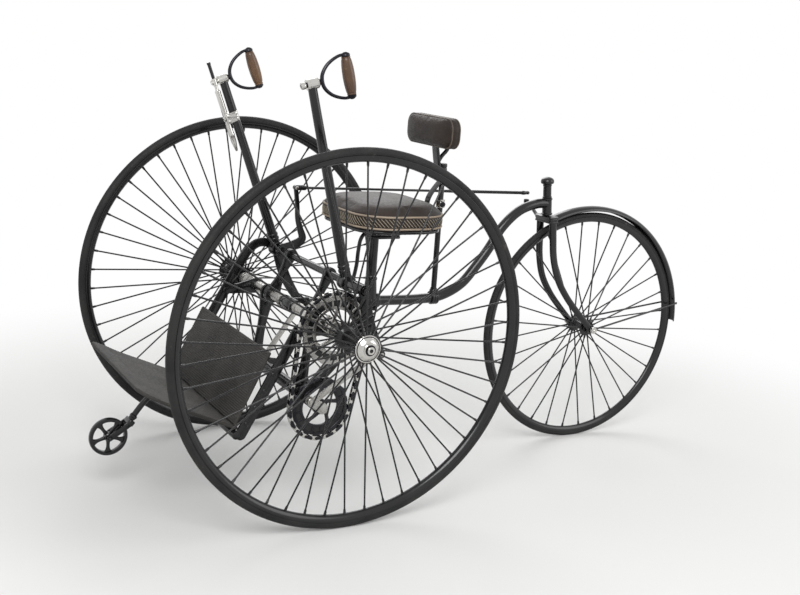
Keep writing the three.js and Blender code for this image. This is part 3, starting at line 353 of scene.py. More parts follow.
def block(centre: Array, size: Place, turn: tuple[Array, Array] = (X_AXIS, Y_AXIS),
          edge: float = 1.5, corner: float = 3.0) -> Surface:
    """A block of the size along two directions and square to both, with rounded corners and eased edges."""
    return slab(round_rect(size[0], size[1], corner), -size[2] / 2, size[2] / 2, edge, centre, turn)


def strap(path: Array, wide: float | Array, thick: float | Array, power: float = 5.0) -> Surface:
    """A flat bar along a path, whose squared section has these half sizes across the machine and upright."""
    size = np.stack([np.broadcast_to(wide, len(path)), np.broadcast_to(thick, len(path))], 1)
    return sweep(path, size / 1000, 28, power=power)


def banded(centre: Array, axis: Array, r: float, half: float, bands: int, sides: int = 48) -> Surface:
    """A clip round a tube: a barrel with raised bands, each of which rises as the root of half a sine.

    Args:
        centre: Its middle, in metres.
        axis: The tube's direction.
        r: Radius over the bands, in millimetres.
        half: Half its length.
        bands: How many bands.
        sides: Facets round it.

    Returns:
        The clip.
    """
    u = np.linspace(0, 1, 10 * bands + 1)
    deep = 1.6
    rise = deep * np.sqrt(np.abs(np.sin(u * bands * math.pi)))
    barrel = np.stack([half * (2 * u - 1), r - deep + rise], 1)
    return lathe([(-half, 0), *barrel, (half, 0)], centre, axis, sides)


def dome(centre: Array, axis: Array, r: float, high: float, sides: int = 16) -> Surface:
    """A round-headed rivet or screw: the height falls from the middle as a quarter ellipse."""
    t = np.linspace(0, math.pi / 2, 5)
    return lathe([(0, 0), *zip(high * np.sin(t), r * np.cos(t))], centre, axis, sides)


def nut_pair(centre: Array, axis: Array, r: float) -> list[Surface]:
    """A six-sided nut on a washer, with the end of its bolt standing out of it.

    Args:
        centre: Middle of the washer's foot, in metres.
        axis: The bolt's direction.
        r: Radius over the nut's corners, in millimetres.

    Returns:
        Washer, nut and bolt end.
    """
    axis = unit(axis)
    thick, high = 1.6, r * 0.85
    washer = lathe([(0, 0), (0, r * 1.2), (1.2, r * 1.25), (thick, r * 1.2), (thick, 0)], centre, axis, 24)
    sides = [(0, 0), (0, r * 0.88), (high * 0.12, r), (high * 0.86, r), (high, r * 0.86), (high, 0)]
    nut = lathe(sides, centre + axis * thick / 1000, axis, 6)
    return [washer, nut, dome(centre + axis * (thick + high) / 1000, axis, r * 0.5, r * 0.35)]


# ---- shader nodes
Tree = bpy.types.NodeTree
Socket = bpy.types.NodeSocket
Values = dict[str | int, object]


def fill(tree: Tree, node: bpy.types.Node, values: Values) -> None:
    """Sets a node's inputs: a socket is linked to its input, and anything else becomes the input's value.

    Args:
        tree: The node's tree.
        node: The node.
        values: What each input gets, by the input's name or number.
    """
    for key, value in values.items():
        if isinstance(value, Socket):
            tree.links.new(value, node.inputs[key])
        else:
            node.inputs[key].default_value = value


def add_node(tree: Tree, kind: str, values: Values, out: str | int = 0, **settings: str) -> Socket:
    """Adds a shader node with its inputs set.

    Args:
        tree: The tree that it goes into.
        kind: Its type, without the start that all types share.
        values: What each input gets.
        out: The output that is wanted.
        settings: The node's own settings.

    Returns:
        That output.
    """
    node = tree.nodes.new(f"ShaderNode{kind}")
    for key, value in settings.items():
        setattr(node, key, value)
    fill(tree, node, values)
    return node.outputs[out]


def noise(tree: Tree, place: Socket, scale: float, detail: float) -> Socket:
    """Soft noise of so many repeats in a metre, mostly from 0.3 to 0.7."""
    values = {"Vector": place, "Scale": scale, "Detail": detail, "Roughness": 0.6}
    return add_node(tree, "TexNoise", values, "Fac")


def mapped(tree: Tree, value: Socket, source: Spot, target: Spot, **settings: str) -> Socket:
    """Maps one range of values onto another, and holds the ends."""
    values = dict(zip(("Value", "From Min", "From Max", "To Min", "To Max"), (value, *source, *target)))
    return add_node(tree, "MapRange", values, "Result", **settings)


# ---- finishes
class Slot(Enum):
    """The record's material slots."""

    ENAMEL = "black_enamel"
    PLATE = "bright_plate"
    STEEL = "bright_steel"
    TYRE = "black_tyre"
    WOOD = "grip_wood"
    LEATHER = "seat_leather"
    MAT = "board_mat"


class Grain(Enum):
    """What the small relief of a finish looks like: cells of hide, or noise with so many octaves."""

    HIDE = 0.0
    STOVED = 2.0
    DRAWN = 5.0
    MOULDED = 6.0
    FIBRE = 8.0


Colour = tuple[float, float, float]


@dataclass(frozen=True)
class Finish:
    """A surface finish: two shades that drift together, worn patches of a third, and a small relief."""

    name: str
    slot: Slot
    dark: Colour  # the darker shade
    light: Colour  # the lighter shade
    worn: Colour  # colour of the worn patches
    wear: float  # share of the surface that is worn, from 0 to 1
    rough: Spot  # roughness from the smoothest places to the dullest
    metal: float  # 1 for bare metal, 0 for anything else
    grain: Grain  # the kind of relief
    grain_size: float  # repeats of the relief in a metre
    relief: float  # height of the relief in millimetres
    coat: float = 0.0  # weight of a clear coat
    stretch: Place = (1.0, 1.0, 1.0)  # how far the relief is drawn out along each axis
    sheen: float = 0.0  # weight of a soft sheen
    specular: float = 0.4  # strength of the mirror part on anything but metal

    def material(self) -> bpy.types.Material:
        """The finish as a material, made once and shared after that."""
        found = bpy.data.materials.get(self.name)
        return found or self._build(bpy.data.materials.new(self.name))

    def _build(self, m: bpy.types.Material) -> bpy.types.Material:
        """Fills a material's nodes: colour, roughness and relief, all from Object coordinates.

        Args:
            m: A new material.

        Returns:
            The same material.
        """
        m.use_nodes = True
        tree = m.node_tree
        place = add_node(tree, "TexCoord", {}, "Object")
        drift = mapped(tree, noise(tree, place, 7.0, 3.0), (0.35, 0.65), (0, 1))
        patches = (0.70 - 0.25 * self.wear, 0.78 - 0.22 * self.wear)
        worn = mapped(tree, noise(tree, place, 38.0, 6.0), patches, (0, 0.85))
        shade = self._mix(tree, drift, (*self.dark, 1), self.light)
        height = {"Height": self._relief(tree, place), "Distance": self.relief / 1000, "Strength": 1.0}
        fill(tree, tree.nodes["Principled BSDF"], {
            "Base Color": self._mix(tree, worn, shade, self.worn),
            "Roughness": mapped(tree, noise(tree, place, 140.0, 4.0), (0.3, 0.7), self.rough),
            "Normal": add_node(tree, "Bump", height, "Normal"),
            "Metallic": self.metal, "Specular IOR Level": self.specular, "Coat Weight": self.coat,
            "Coat Roughness": 0.12, "Sheen Weight": self.sheen, "Sheen Roughness": 0.5})
        return m

    def _relief(self, tree: Tree, place: Socket) -> Socket:
        """Makes the nodes of this finish's grain.

        Args:
            tree: The material's nodes.
            place: Object coordinates.

        Returns:
            Height of the relief, from 0 to 1.
        """
        drawn = add_node(tree, "Mapping", {"Vector": place, "Scale": self.stretch}, "Vector")
        if self.grain is not Grain.HIDE:
            return noise(tree, drawn, self.grain_size, self.grain.value)
        cells = add_node(tree, "TexVoronoi", {"Vector": drawn, "Scale": self.grain_size}, "Distance",
                         feature="DISTANCE_TO_EDGE")
        return mapped(tree, cells, (0.0, 0.25), (0, 1))

    @staticmethod
    def _mix(tree: Tree, share: Socket, first: "tuple | Socket", second: Colour) -> Socket:
        """Mixes two colours, the first of them with its alpha or as a socket, by the share of the second."""
        return add_node(tree, "Mix", {"Factor": share, 6: first, 7: (*second, 1)}, 2, data_type="RGBA")


ENAMEL = Finish(
    "stoved_black_enamel", Slot.ENAMEL, (0.0035, 0.0035, 0.0042), (0.009, 0.009, 0.010),
    (0.045, 0.040, 0.034), 0.06, (0.14, 0.27), 0.0, Grain.STOVED, 260, 0.012, coat=0.22, specular=0.34)
BLUED = Finish(
    "blued_steel", Slot.ENAMEL, (0.020, 0.020, 0.024), (0.045, 0.045, 0.050), (0.14, 0.13, 0.12),
    0.10, (0.16, 0.30), 0.9, Grain.DRAWN, 300, 0.012)
PLATE = Finish(
    "nickel_plate", Slot.PLATE, (0.47, 0.46, 0.44), (0.60, 0.59, 0.56), (0.30, 0.28, 0.24),
    0.05, (0.10, 0.20), 1.0, Grain.DRAWN, 220, 0.008)
STEEL = Finish(
    "filed_steel", Slot.STEEL, (0.34, 0.33, 0.31), (0.50, 0.49, 0.47), (0.16, 0.14, 0.11),
    0.10, (0.20, 0.34), 1.0, Grain.DRAWN, 420, 0.015)
TYRE = Finish(
    "aged_tyre_rubber", Slot.TYRE, (0.010, 0.010, 0.0105), (0.022, 0.0215, 0.021), (0.050, 0.047, 0.043),
    0.20, (0.50, 0.72), 0.0, Grain.MOULDED, 300, 0.08, specular=0.25)
WOOD = Finish(
    "oiled_hardwood", Slot.WOOD, (0.060, 0.029, 0.014), (0.15, 0.078, 0.036), (0.22, 0.13, 0.07),
    0.20, (0.28, 0.48), 0.0, Grain.FIBRE, 90, 0.10, coat=0.25, stretch=(5.0, 5.0, 0.5))
HIDE = Finish(
    "waxed_brown_hide", Slot.LEATHER, (0.012, 0.0075, 0.0055), (0.028, 0.0175, 0.0125), (0.055, 0.037, 0.026),
    0.14, (0.42, 0.62), 0.0, Grain.HIDE, 420, 0.12, sheen=0.03, specular=0.3)
# Pale tan hide. Its light tone is partly the cord's own colour and partly a painted highlight along the
# seams.
PIPING = Finish(
    "rolled_hide_piping", Slot.LEATHER, (0.26, 0.20, 0.145), (0.40, 0.32, 0.245), (0.14, 0.10, 0.07),
    0.12, (0.40, 0.60), 0.0, Grain.HIDE, 700, 0.06)
WELT = Finish(
    "dark_hide_welt", Slot.LEATHER, (0.055, 0.042, 0.032), (0.110, 0.086, 0.066), (0.05, 0.036, 0.026),
    0.12, (0.36, 0.56), 0.0, Grain.HIDE, 700, 0.06)
THREAD = Finish(
    "waxed_linen_thread", Slot.LEATHER, (0.36, 0.31, 0.23), (0.50, 0.44, 0.34), (0.22, 0.18, 0.12),
    0.20, (0.60, 0.80), 0.0, Grain.FIBRE, 1500, 0.05)
MAT = Finish(
    "ribbed_mat", Slot.MAT, (0.020, 0.0185, 0.017), (0.045, 0.042, 0.038), (0.085, 0.078, 0.070),
    0.20, (0.50, 0.75), 0.0, Grain.MOULDED, 350, 0.10, specular=0.3)


# ---- making pieces
def new_mesh(name: str, points: Array, quads: Array, caps: list[Array]) -> bpy.types.Mesh:
    """Puts whole arrays of corners and faces into a new mesh.

    Args:
        name: Name of the mesh.
        points: Corners in metres.
        quads: Four corners a face.
        caps: Faces with any number of corners.

    Returns:
        The mesh.
    """
    mesh = bpy.data.meshes.new(name)
    loops = np.concatenate([quads.ravel(), *caps]).astype(np.int32)
    sizes = np.array([4] * len(quads) + [len(c) for c in caps], np.int32)
    mesh.vertices.add(len(points))
    mesh.vertices.foreach_set("co", np.ascontiguousarray(points, np.float32).ravel())
    mesh.loops.add(len(loops))
    mesh.loops.foreach_set("vertex_index", loops)
    mesh.polygons.add(len(sizes))
    mesh.polygons.foreach_set("loop_start", (np.cumsum(sizes) - sizes).astype(np.int32))
    mesh.update(calc_edges=True)
    return mesh


def new_object(name: str, data: bpy.types.ID) -> bpy.types.Object:
    """Puts a mesh, lamp or camera into the scene.

    Args:
        name: Name of the object.
        data: What it shows.

    Returns:
        The object.
    """
    obj = bpy.data.objects.new(name, data)
    bpy.context.scene.collection.objects.link(obj)
    return obj


@dataclass
class Piece:
    """Gathers closed forms into one mesh, dresses it and fixes it to a body of the machine."""

    name: str
    finish: Finish
    replaces: str = ""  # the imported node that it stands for, if any
    body: str = "frame"  # the body that it rides on
    crease: float = 30.0  # angle in degrees over which an edge stays sharp
    forms: list[Surface] = field(default_factory=list)

    def add(self, *forms: "Surface | list") -> "Piece":
        """Adds forms.

        Args:
            forms: Forms, or lists of them.

        Returns:
            The piece itself.
        """
        for form in forms:
            self.add(*form) if isinstance(form, list) else self.forms.append(form)
        return self

    def mesh(self) -> bpy.types.Mesh:
        """Joins the gathered forms, with doubles merged and all faces turned outwards.

        Returns:
            The mesh.
        """
        start = np.cumsum([0] + [len(f.points) for f in self.forms])
        points = np.vstack([f.points for f in self.forms])
        quads = np.vstack([f.quads + s for f, s in zip(self.forms, start)])
        caps = [c + s for f, s in zip(self.forms, start) for c in f.caps]
        mesh = new_mesh(self.name, points, quads, caps)
        tidy(mesh)
        smooth(mesh, self.crease)
        return mesh

    def dress(self, obj: bpy.types.Object) -> None:
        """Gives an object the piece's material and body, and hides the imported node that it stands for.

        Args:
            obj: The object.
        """
        obj.data.materials.clear()
        obj.data.materials.append(self.finish.material())
        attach(obj, self.body)
        if self.replaces:
            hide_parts(self.replaces)
        LOG.info("%s: %d faces on %s", obj.name, len(obj.data.polygons), self.body)

    def make(self) -> None:
        """Builds the object, dresses it and sets it on its body."""
        self.dress(new_object(self.name, self.mesh()))


def tidy(mesh: bpy.types.Mesh) -> None:
    """Merges doubles, drops faces without area and turns every shell outwards.

    Args:
        mesh: The mesh, changed in place.
    """
    work = bmesh.new()
    work.from_mesh(mesh)
    bmesh.ops.remove_doubles(work, verts=work.verts, dist=2e-6)
    bmesh.ops.dissolve_degenerate(work, edges=work.edges, dist=1e-6)
    bmesh.ops.recalc_face_normals(work, faces=work.faces)
    work.to_mesh(mesh)
    work.free()


def smooth(mesh: bpy.types.Mesh, crease: float) -> None:
    """Shades a mesh smooth.

    Args:
        mesh: The mesh, changed in place.
        crease: Angle in degrees over which an edge stays sharp.
    """
    mesh.polygons.foreach_set("use_smooth", np.ones(len(mesh.polygons), bool))
    mesh.set_sharp_from_angle(angle=math.radians(crease))
    mesh.update()


# ---- the studio
def facing(x: Array, y: Array, z: Array, origin: Array) -> Matrix:
    """A matrix that turns an object's own axes to x, y and z and sets it at an origin."""
    return Matrix([*np.stack([x, y, z, origin], 1).tolist(), [0.0, 0.0, 0.0, 1.0]])


@dataclass
class Studio:
    """Camera, lamps, floor and backdrop."""

    eye: Place = (1491, 3342, 1415)  # the camera's place, in design millimetres
    forward: Place = (-0.48273, -0.85811, -0.17502)  # where it looks
    up: Place = (-0.02235, -0.18767, 0.98201)  # its upward direction
    lens: float = 52.4  # focal length in millimetres on a sensor 36 wide
    shift_up: float = -0.0612  # its upward shift, in widths of the sensor
    # each lamp's name, place in metres, width in metres and power in watts
    lamps: tuple[tuple[str, Place, float, float], ...] = (
        ("key", (2.4, 3.6, 3.8), 2.6, 150.0), ("fill", (-3.4, 3.0, 2.6), 3.0, 60.0),
        ("back", (-1.2, -3.8, 3.6), 3.0, 80.0))
    aim: Place = (0, 0, 0.6)  # the place in metres that the lamps face
    floor_radii: tuple[float, ...] = (0.02, 1.0, 2.0, 5.0, 14.0)  # radii of the floor's rings, in metres
    floor_colour: Colour = (0.80, 0.80, 0.79)
    # where the floor begins and ends to turn into the backdrop, in metres from its middle
    fade: Spot = (1.3, 2.6)
    world_light: float = 0.55  # strength of the white world, where 1 is what the eye sees of it

    def build(self) -> None:
        """Makes everything that isn't the machine."""
        self._camera()
        self._lamps()
        self._world()
        self._floor()
        bpy.context.scene.view_settings.view_transform = "Standard"

    def _camera(self) -> None:
        """A camera with a slight roll, as turned by its forward and up directions."""
        data = bpy.data.cameras.new("camera")
        data.lens, data.sensor_width, data.shift_y = self.lens, 36.0, self.shift_up
        camera = new_object("camera", data)
        forward = unit(np.array(self.forward))
        right = unit(np.cross(forward, unit(np.array(self.up))))
        camera.matrix_world = facing(right, np.cross(right, forward), -forward, at(*self.eye))
        bpy.context.scene.camera = camera

    def _lamps(self) -> None:
        """Wide soft lamps, each a square that faces the machine."""
        for name, spot, size, power in self.lamps:
            data = bpy.data.lights.new(name, "AREA")
            data.shape, data.size, data.energy = "SQUARE", size, power
            z = unit(np.subtract(spot, self.aim))
            x = unit(np.cross(Z_AXIS, z))
            new_object(name, data).matrix_world = facing(x, np.cross(z, x), z, spot)

    @staticmethod
    def _seen(tree: Tree) -> Socket:
        """Tells the rays that see the backdrop from those that only light the machine.

        Args:
            tree: The nodes.

        Returns:
            1 for rays from the eye, mirrored rays and rays through glass, and else 0.
        """
        rays = tree.nodes.new("ShaderNodeLightPath").outputs
        both = add_node(tree, "Math", {0: rays["Is Camera Ray"], 1: rays["Is Glossy Ray"]},
                        operation="MAXIMUM")
        return add_node(tree, "Math", {0: both, 1: rays["Is Transmission Ray"]}, operation="MAXIMUM")

    def _world(self) -> None:
        """A white world, dimmed where it only lights the machine."""
        world = bpy.data.worlds.new("studio")
        bpy.context.scene.world = world
        world.use_nodes = True
        tree = world.node_tree
        strength = mapped(tree, self._seen(tree), (0, 1), (self.world_light, 1.0))
        fill(tree, tree.nodes["Background"], {"Color": (1, 1, 1, 1), "Strength": strength})

    def _floor(self) -> None:
        """A wide round floor, pale and dull, which fades into the backdrop's white where rays see it."""
        t = round_turn(96)
        r = np.array(self.floor_radii)[:, None]
        form = skin(np.stack([r * np.cos(t), r * np.sin(t), 0 * r * t], -1), capped=False)
        disc = new_mesh("floor", form.points, form.quads, [np.arange(len(t))])
        tidy(disc)
        m = bpy.data.materials.new("floor")
        m.use_nodes = True
        tree = m.node_tree
        shader = tree.nodes["Principled BSDF"]
        fill(tree, shader, {"Roughness": 0.9, "Base Color": (*self.floor_colour, 1)})
        far = add_node(tree, "VectorMath", {0: add_node(tree, "TexCoord", {}, "Object")}, "Value",
                       operation="LENGTH")
        share = mapped(tree, far, self.fade, (0, 1), interpolation_type="SMOOTHSTEP")
        white = add_node(tree, "Math", {0: share, 1: self._seen(tree)}, operation="MULTIPLY")
        both = add_node(tree, "MixShader",
                        {0: white, 1: shader.outputs[0], 2: add_node(tree, "Emission", {})})
        fill(tree, tree.nodes["Material Output"], {"Surface": both})
        disc.materials.append(m)
        new_object("floor", disc)


# ---- wheels
@dataclass
class SpokedWheel:
    """A wire wheel with a solid tyre. Sizes in millimetres, places along the axle from the wheel's plane."""

    name: str  # left, right or rear
    body: str  # body that the wheel turns with
    centre: Array  # hub's middle in metres
    side: int  # 1 where the outer side is the machine's left, -1 where it is its right
    radius: float  # outside the tyre
    tyre_wide: float = 30.0
    tyre_deep: float = 27.0
    rim_deep: float = 14.5  # depth of the rim under the tyre
    spokes: int = 50  # number of spokes, alternate ones to each flange
    flange: float = 66.0  # flange's plane
    flange_r: float = 37.0  # flange's radius
    hub_r: float = 19.0  # barrel's radius
    hub_end: float = 72.0  # end of the barrel
    spoke_r: float = 2.7
    facets: int = 192  # facets round the tyre and the rim

    def build(self) -> None:
        """Makes the tyre, rim, spokes and hub."""
        cad = f"{self.name}_wheel"
        Piece(f"{self.name}_solid_tyre", TYRE, f"{self.name}_tyre", self.body, 50).add(self.tyre()).make()
        Piece(f"{self.name}_rim", ENAMEL, cad, self.body, 40).add(self.rim()).make()
        Piece(f"{self.name}_spokes", ENAMEL, cad, self.body, 50).add(self.wires()).make()
        Piece(f"{self.name}_hub", ENAMEL, cad, self.body).add(self.hub()).make()

    def tyre(self) -> Surface:
        """A tyre of round section whose foot is cut flat where it sits in the rim.

        Returns:
            The tyre.
        """
        half = self.tyre_wide / 2
        t = np.radians(np.linspace(-122, 122, 27))
        along, up = half * np.sin(t), self.radius - half + half * np.cos(t)
        foot = self.radius - self.tyre_deep
        crown = np.stack([along, np.maximum(up, foot)], 1)
        profile = np.vstack([[-half * 0.5, foot], crown, [half * 0.5, foot]])
        return lathe(profile, self.centre, Y_AXIS, self.facets, ring=True)

    def rim(self) -> Surface:
        """A rim with a hollow bed for the tyre, raised lips and a rounded belly.

        Returns:
            The rim.
        """
        h, deep = self.tyre_wide / 2, self.rim_deep
        bed = self.radius - self.tyre_deep - 0.3
        shares = [(0, 0), (0.50, 0), (0.80, 2.5), (0.94, 5.2), (1.02, 5.4), (1.04, 4.0), (0.99, -0.5),
                  (0.90, -0.30 * deep), (0.66, -0.66 * deep), (0.36, -0.92 * deep), (0, -deep)]
        half = [(share * h, bed + rise) for share, rise in shares]
        return lathe(half + [(-a, r) for a, r in half[-2:0:-1]], self.centre, Y_AXIS, self.facets, ring=True)

    def wires(self) -> list[Surface]:
        """The wires, each with a tapered sleeve at the rim and a swelled shank at the hub.

        Returns:
            All the wires, all the sleeves and all the shanks.
        """
        i = np.arange(self.spokes)
        t = TURN * (i + 0.5) / self.spokes
        away = np.stack([np.cos(t), 0 * t, np.sin(t)], 1)
        seat = np.where(i % 2, -1.0, 1.0)[:, None] * self.side * self.flange * Y_AXIS
        hub = self.centre + (away * (self.flange_r - 7) + seat) / 1000
        rim = self.centre + away * (self.radius - self.tyre_deep - self.rim_deep + 3) / 1000
        way = unit(rim - hub)
        long = float(np.linalg.norm(rim[0] - hub[0])) * 1000
        e1, e2 = side_frame(way, Y_AXIS + 0.01 * X_AXIS)
        frames, r = np.stack([e1, e2, way], -1), self.spoke_r
        parts = [(hub, 10, [(0, 0), (0, r), (long, r), (long, 0)]),
                 (rim, 8, [(-16, 0), (-16, r + 0.3), (-13, r + 1.2), (-2, r + 1.6), (0, r + 1.6), (0, 0)]),
                 (hub, 8, [(0, 0), (0, r + 1.3), (14, r + 1.3), (18, r + 0.2), (18, 0)])]
        return [lathe(profile, np.zeros(3), Z_AXIS, sides).copies(start, frames)
                for start, sides, profile in parts]

    def hub(self) -> Surface:
        """A barrel that swells in fillets to two flanges.

        Returns:
            The hub.
        """
        f, fr, hr, end = self.flange, self.flange_r, self.hub_r, self.hub_end
        half = [(f - 26, hr), (f - 14, hr * 1.06), (f - 7, hr * 1.35), (f - 3.5, fr * 0.86), (f - 3, fr - 1),
                (f - 1.6, fr), (f + 1.6, fr), (f + 3, fr - 1), (f + 4, fr * 0.8), (f + 4, hr + 2), (end, hr),
                (end, 0)]
        return lathe(mirrored(half), self.centre, Y_AXIS * self.side, 64)


@dataclass
class HubCap:
    """The plated cap on a driving wheel's outer flange, with a turned face and a ringed oil hole."""

    name: str  # left or right
    side: int  # 1 for left, -1 for right
    centre: Array  # the wheel's middle in metres
    radius: float = 34.0  # the cap's radius inside its lip
    seat: float = 72.3  # where it sits on the flange, from the wheel's plane
    face: float = 88.0
    tip: float = 98.0  # end of its nut

    def build(self) -> None:
        """Turns the cap, whose crown narrows evenly as it rises by a quarter sine, and dark blued rings of
        painted shade in its grooves and oil hole.
        """
        r, a, f, tip = self.radius, self.seat, self.face, self.tip
        lip = [(a, 0), (a, r + 6), (a + 4, r + 6), (a + 5, r + 5), (a + 5, r + 3), (a + 3, r + 2.4),
               (a + 3, r + 0.4), (a + 6, r)]
        u = np.linspace(0, 1, 33)
        crown = np.stack([a + 6.6 + (f - a - 6.6) * np.sin(u * math.pi / 2), r - 0.8 - (r - 19.8) * u], 1)
        boss = [(f + 3, 19), (f + 4, 18), (f + 4, 16.2), (f - 1, 15.4), (f - 1, 12), (tip - 1, 11.4),
                (tip, 10.4), (tip, 5.6), (tip - 5, 4.8), (tip - 5, 0)]
        # Blued rings round the boss, inside the lip and in the oil hole are painted shade: they make the
        # grooves and the hole look dark.
        painted_shade_rings = [(48, True, [(f - 2, 11.4), (f - 0.4, 11.6), (f - 0.4, 15.8), (f - 2, 15.8)]),
                 (72, True, [(a + 2, r - 0.6), (a + 3.6, r - 0.2), (a + 3.6, r + 2.6), (a + 2, r + 2.6)]),
                 (24, False, [(tip - 6, 0), (tip - 6, 5), (tip - 2, 5), (tip - 1.6, 4), (tip - 1.6, 0)])]
        body, cad, out = f"{self.name}_drive_wheel", f"{self.name}_hub_cap", Y_AXIS * self.side
        Piece(f"{self.name}_cap", PLATE, cad, body, 26).add(
            lathe(np.vstack([lip, crown, boss]), self.centre, out, 72)).make()
        Piece(f"{self.name}_cap_seals", BLUED, cad, body, 26).add(
            [lathe(profile, self.centre, out, sides, ring) for sides, ring, profile in painted_shade_rings]).make()


@dataclass
class Wheels:
    """The two driving wheels and the trailing wheel."""

    radius: float = 560.0  # radius of the driving wheels
    axle_r: float = 11.0  # radius of their axle shafts
    # inner end of a shaft from the machine's middle, and its outer end from the wheel's plane
    axle: Spot = (20.0, 72.0)

    def build(self) -> None:
        """Makes the three wheels, their caps and axles."""
        for name, side in (("left", 1), ("right", -1)):
            centre, body = JOINTS[f"{name}_wheel_spin"], f"{name}_drive_wheel"
            SpokedWheel(name, body, centre, side, self.radius).build()
            HubCap(name, side, centre).build()
            inner, outer = (end / 1000 * side * Y_AXIS for end in self.axle)
            Piece(f"{name}_axle_shaft", STEEL, f"{name}_axle", body, 32).add(
                tube(centre * [1, 0, 1] + inner, centre + outer, self.axle_r)).make()
        SpokedWheel("rear", "trailing_wheel", JOINTS["rear_wheel_spin"], 1, radius=425.0, tyre_wide=22.0,
                    tyre_deep=21.0, rim_deep=14.0, spokes=32, flange=36.0, flange_r=30.0, hub_r=15.0,
                    hub_end=44.0, spoke_r=2.6).build()


# ---- frame
@dataclass
class MainFrame:
    """Backbone, axle casing, head, lever shaft and crank bearing."""

    # the backbone's [x, z] points, front to back
    line: tuple[Spot, ...] = (
        (-10, 560), (-250, 560), (-470, 557), (-560, 565), (-641, 604.1), (-693, 660.5), (-743, 725.3),
        (-793, 801.5), (-861, 859.2), (-932, 882.5), (-972, 884))
    tube_r: float = 17.0  # its radius
    casing_r: float = 18.0  # casing's radius
    collar_r: float = 25.0  # radius of the casing's end collars
    casing_ends: Spot = (-392.0, 318.0)  # where the casing ends on the right and on the left
    bands: tuple[int, ...] = (-330, -318, -70, 70, 266, 278)  # planes of the casing's raised bands
    oilers: tuple[int, ...] = (-342, 288)  # planes of its oil cups
    shaft_ends: Spot = (-306.0, 398.0)  # where the lever shaft ends on the right and on the left
    shaft_r: float = 12.0  # its radius
    brackets: tuple[int, ...] = (-150, 150)  # planes of its brackets
    bearing_half: float = 200.0  # half the length of the crank's bearing tube

    def build(self) -> None:
        """Makes each piece of the frame."""
        self._backbone()
        self._casing()
        self._head()
        self._lever_shaft()
        self._crank_bearing()

    def _backbone(self) -> None:
        """The long curved tube, its lug round the casing, and the stepped socket behind the lug."""
        middle = on(AXLE, 0)
        lug = [(30, 23), (34, 21.4), (38, 23), (44, 22.5), (46, 20), (46, 0)]
        socket = [(-8, 0), (-8, 21), (52, 21), (56, 22.6), (61, 22.6), (64, 20), (67, 17), (67, 0)]
        Piece("backbone_tube", ENAMEL, "backbone", crease=32).add(
            sweep(side_curve(0, self.line, 16), self.tube_r / 1000, 36), lathe(mirrored(lug), middle),
            lathe(socket, middle, -X_AXIS)).make()

    def _casing(self) -> None:
        """The bright casing of the driving axle: stepped collars, pairs of raised bands and two oil cups."""
        (a, b), r, c = self.casing_ends, self.casing_r, self.collar_r
        steps = np.array([(0, 0), (0, c - 1.5), (1.5, c), (9, c), (10.5, c - 2.4), (12.5, c - 2.4), (14, c),
                          (22, c), (23.5, c - 2.4), (25.5, c - 2.4), (27, c), (37, c), (40, c - 3), (44, r)])
        band = np.array([(-3.2, r), (-2.4, r + 2.2), (0, r + 3.0), (2.4, r + 2.2), (3.2, r)])
        bands = (np.array(self.bands)[:, None, None] * [1, 0] + band).reshape(-1, 2)
        end = [(b - 22, r), (b - 18, c - 2), (b - 16, c), (b - 1.5, c), (b, c - 1.5), (b, 0)]
        cup = [(-2, 0), (-2, 6), (7, 5), (8, 7), (14, 7), (16, 5.5), (17, 0)]
        Piece("axle_casing_tube", STEEL, "axle_casing", crease=28).add(
            lathe(np.vstack([steps + [a, 0], bands, end]), on(AXLE, 0), Y_AXIS, 64),
            [lathe(cup, at(0, y, AXLE[1] + r), Z_AXIS, 20) for y in self.oilers]).make()

    def _head(self) -> None:
        """The short head with a ring at each end."""
        profile = [(-47, 10.7), (-47, 17.5), (-45, 19.5), (-41, 19.5), (-39, 17), (6, 17), (8, 19),
                   (12.5, 19), (14, 17.5), (14, 10.7)]
        Piece("head_socket", ENAMEL, "head_tube", crease=28).add(
            lathe(profile, JOINTS["steering_turn"], HEAD_AXIS, ring=True)).make()

    @staticmethod
    def _hanger(start: Spot, end: Spot, ends: Place, y: float, half: float, bolts: Spot,
                bolt_r: float) -> list[Surface]:
        """A waisted plate across two lines of the machine, with two bolts through it.

        Args:
            start: The first line as [x, z].
            end: The second line.
            ends: Radius round each of them, and how far the sides draw in between.
            y: Middle plane of the plate.
            half: Half its thickness.
            bolts: Shares of the way from start to end at which the bolts stand.
            bolt_r: Radius of the nuts.

        Returns:
            Plate, nuts and bolt heads.
        """
        forms = [side_slab(link_outline(start, end, *ends[:2], waist=ends[2]), y - half, y + half, 2.0)]
        for u in bolts:
            spot = on(np.multiply(start, 1 - u) + np.multiply(end, u), y)
            face = half / 1000 * Y_AXIS
            forms += [*nut_pair(spot + face, Y_AXIS, bolt_r), dome(spot - face, -Y_AXIS, 7, 4)]
        return forms

    def _lever_shaft(self) -> None:
        """The cross shaft that the levers rock on, on two bolted brackets, with a nut at its left end."""
        a, b = self.shaft_ends
        piece = Piece("lever_cross_shaft", ENAMEL, "lever_shaft")
        piece.add(tube(on(PIVOT, a), on(PIVOT, b), self.shaft_r))
        for y in self.brackets:
            piece.add(self._hanger(PIVOT, AXLE, (20, 27, 12), y, 7, (0.35, 0.66), 7.5),
                      banded(on(PIVOT, y), Y_AXIS, 21, 12, 2), banded(on(AXLE, y), Y_AXIS, 28, 13, 2))
        piece.add(nut_pair(on(PIVOT, b - 1), Y_AXIS, 9.5)).make()

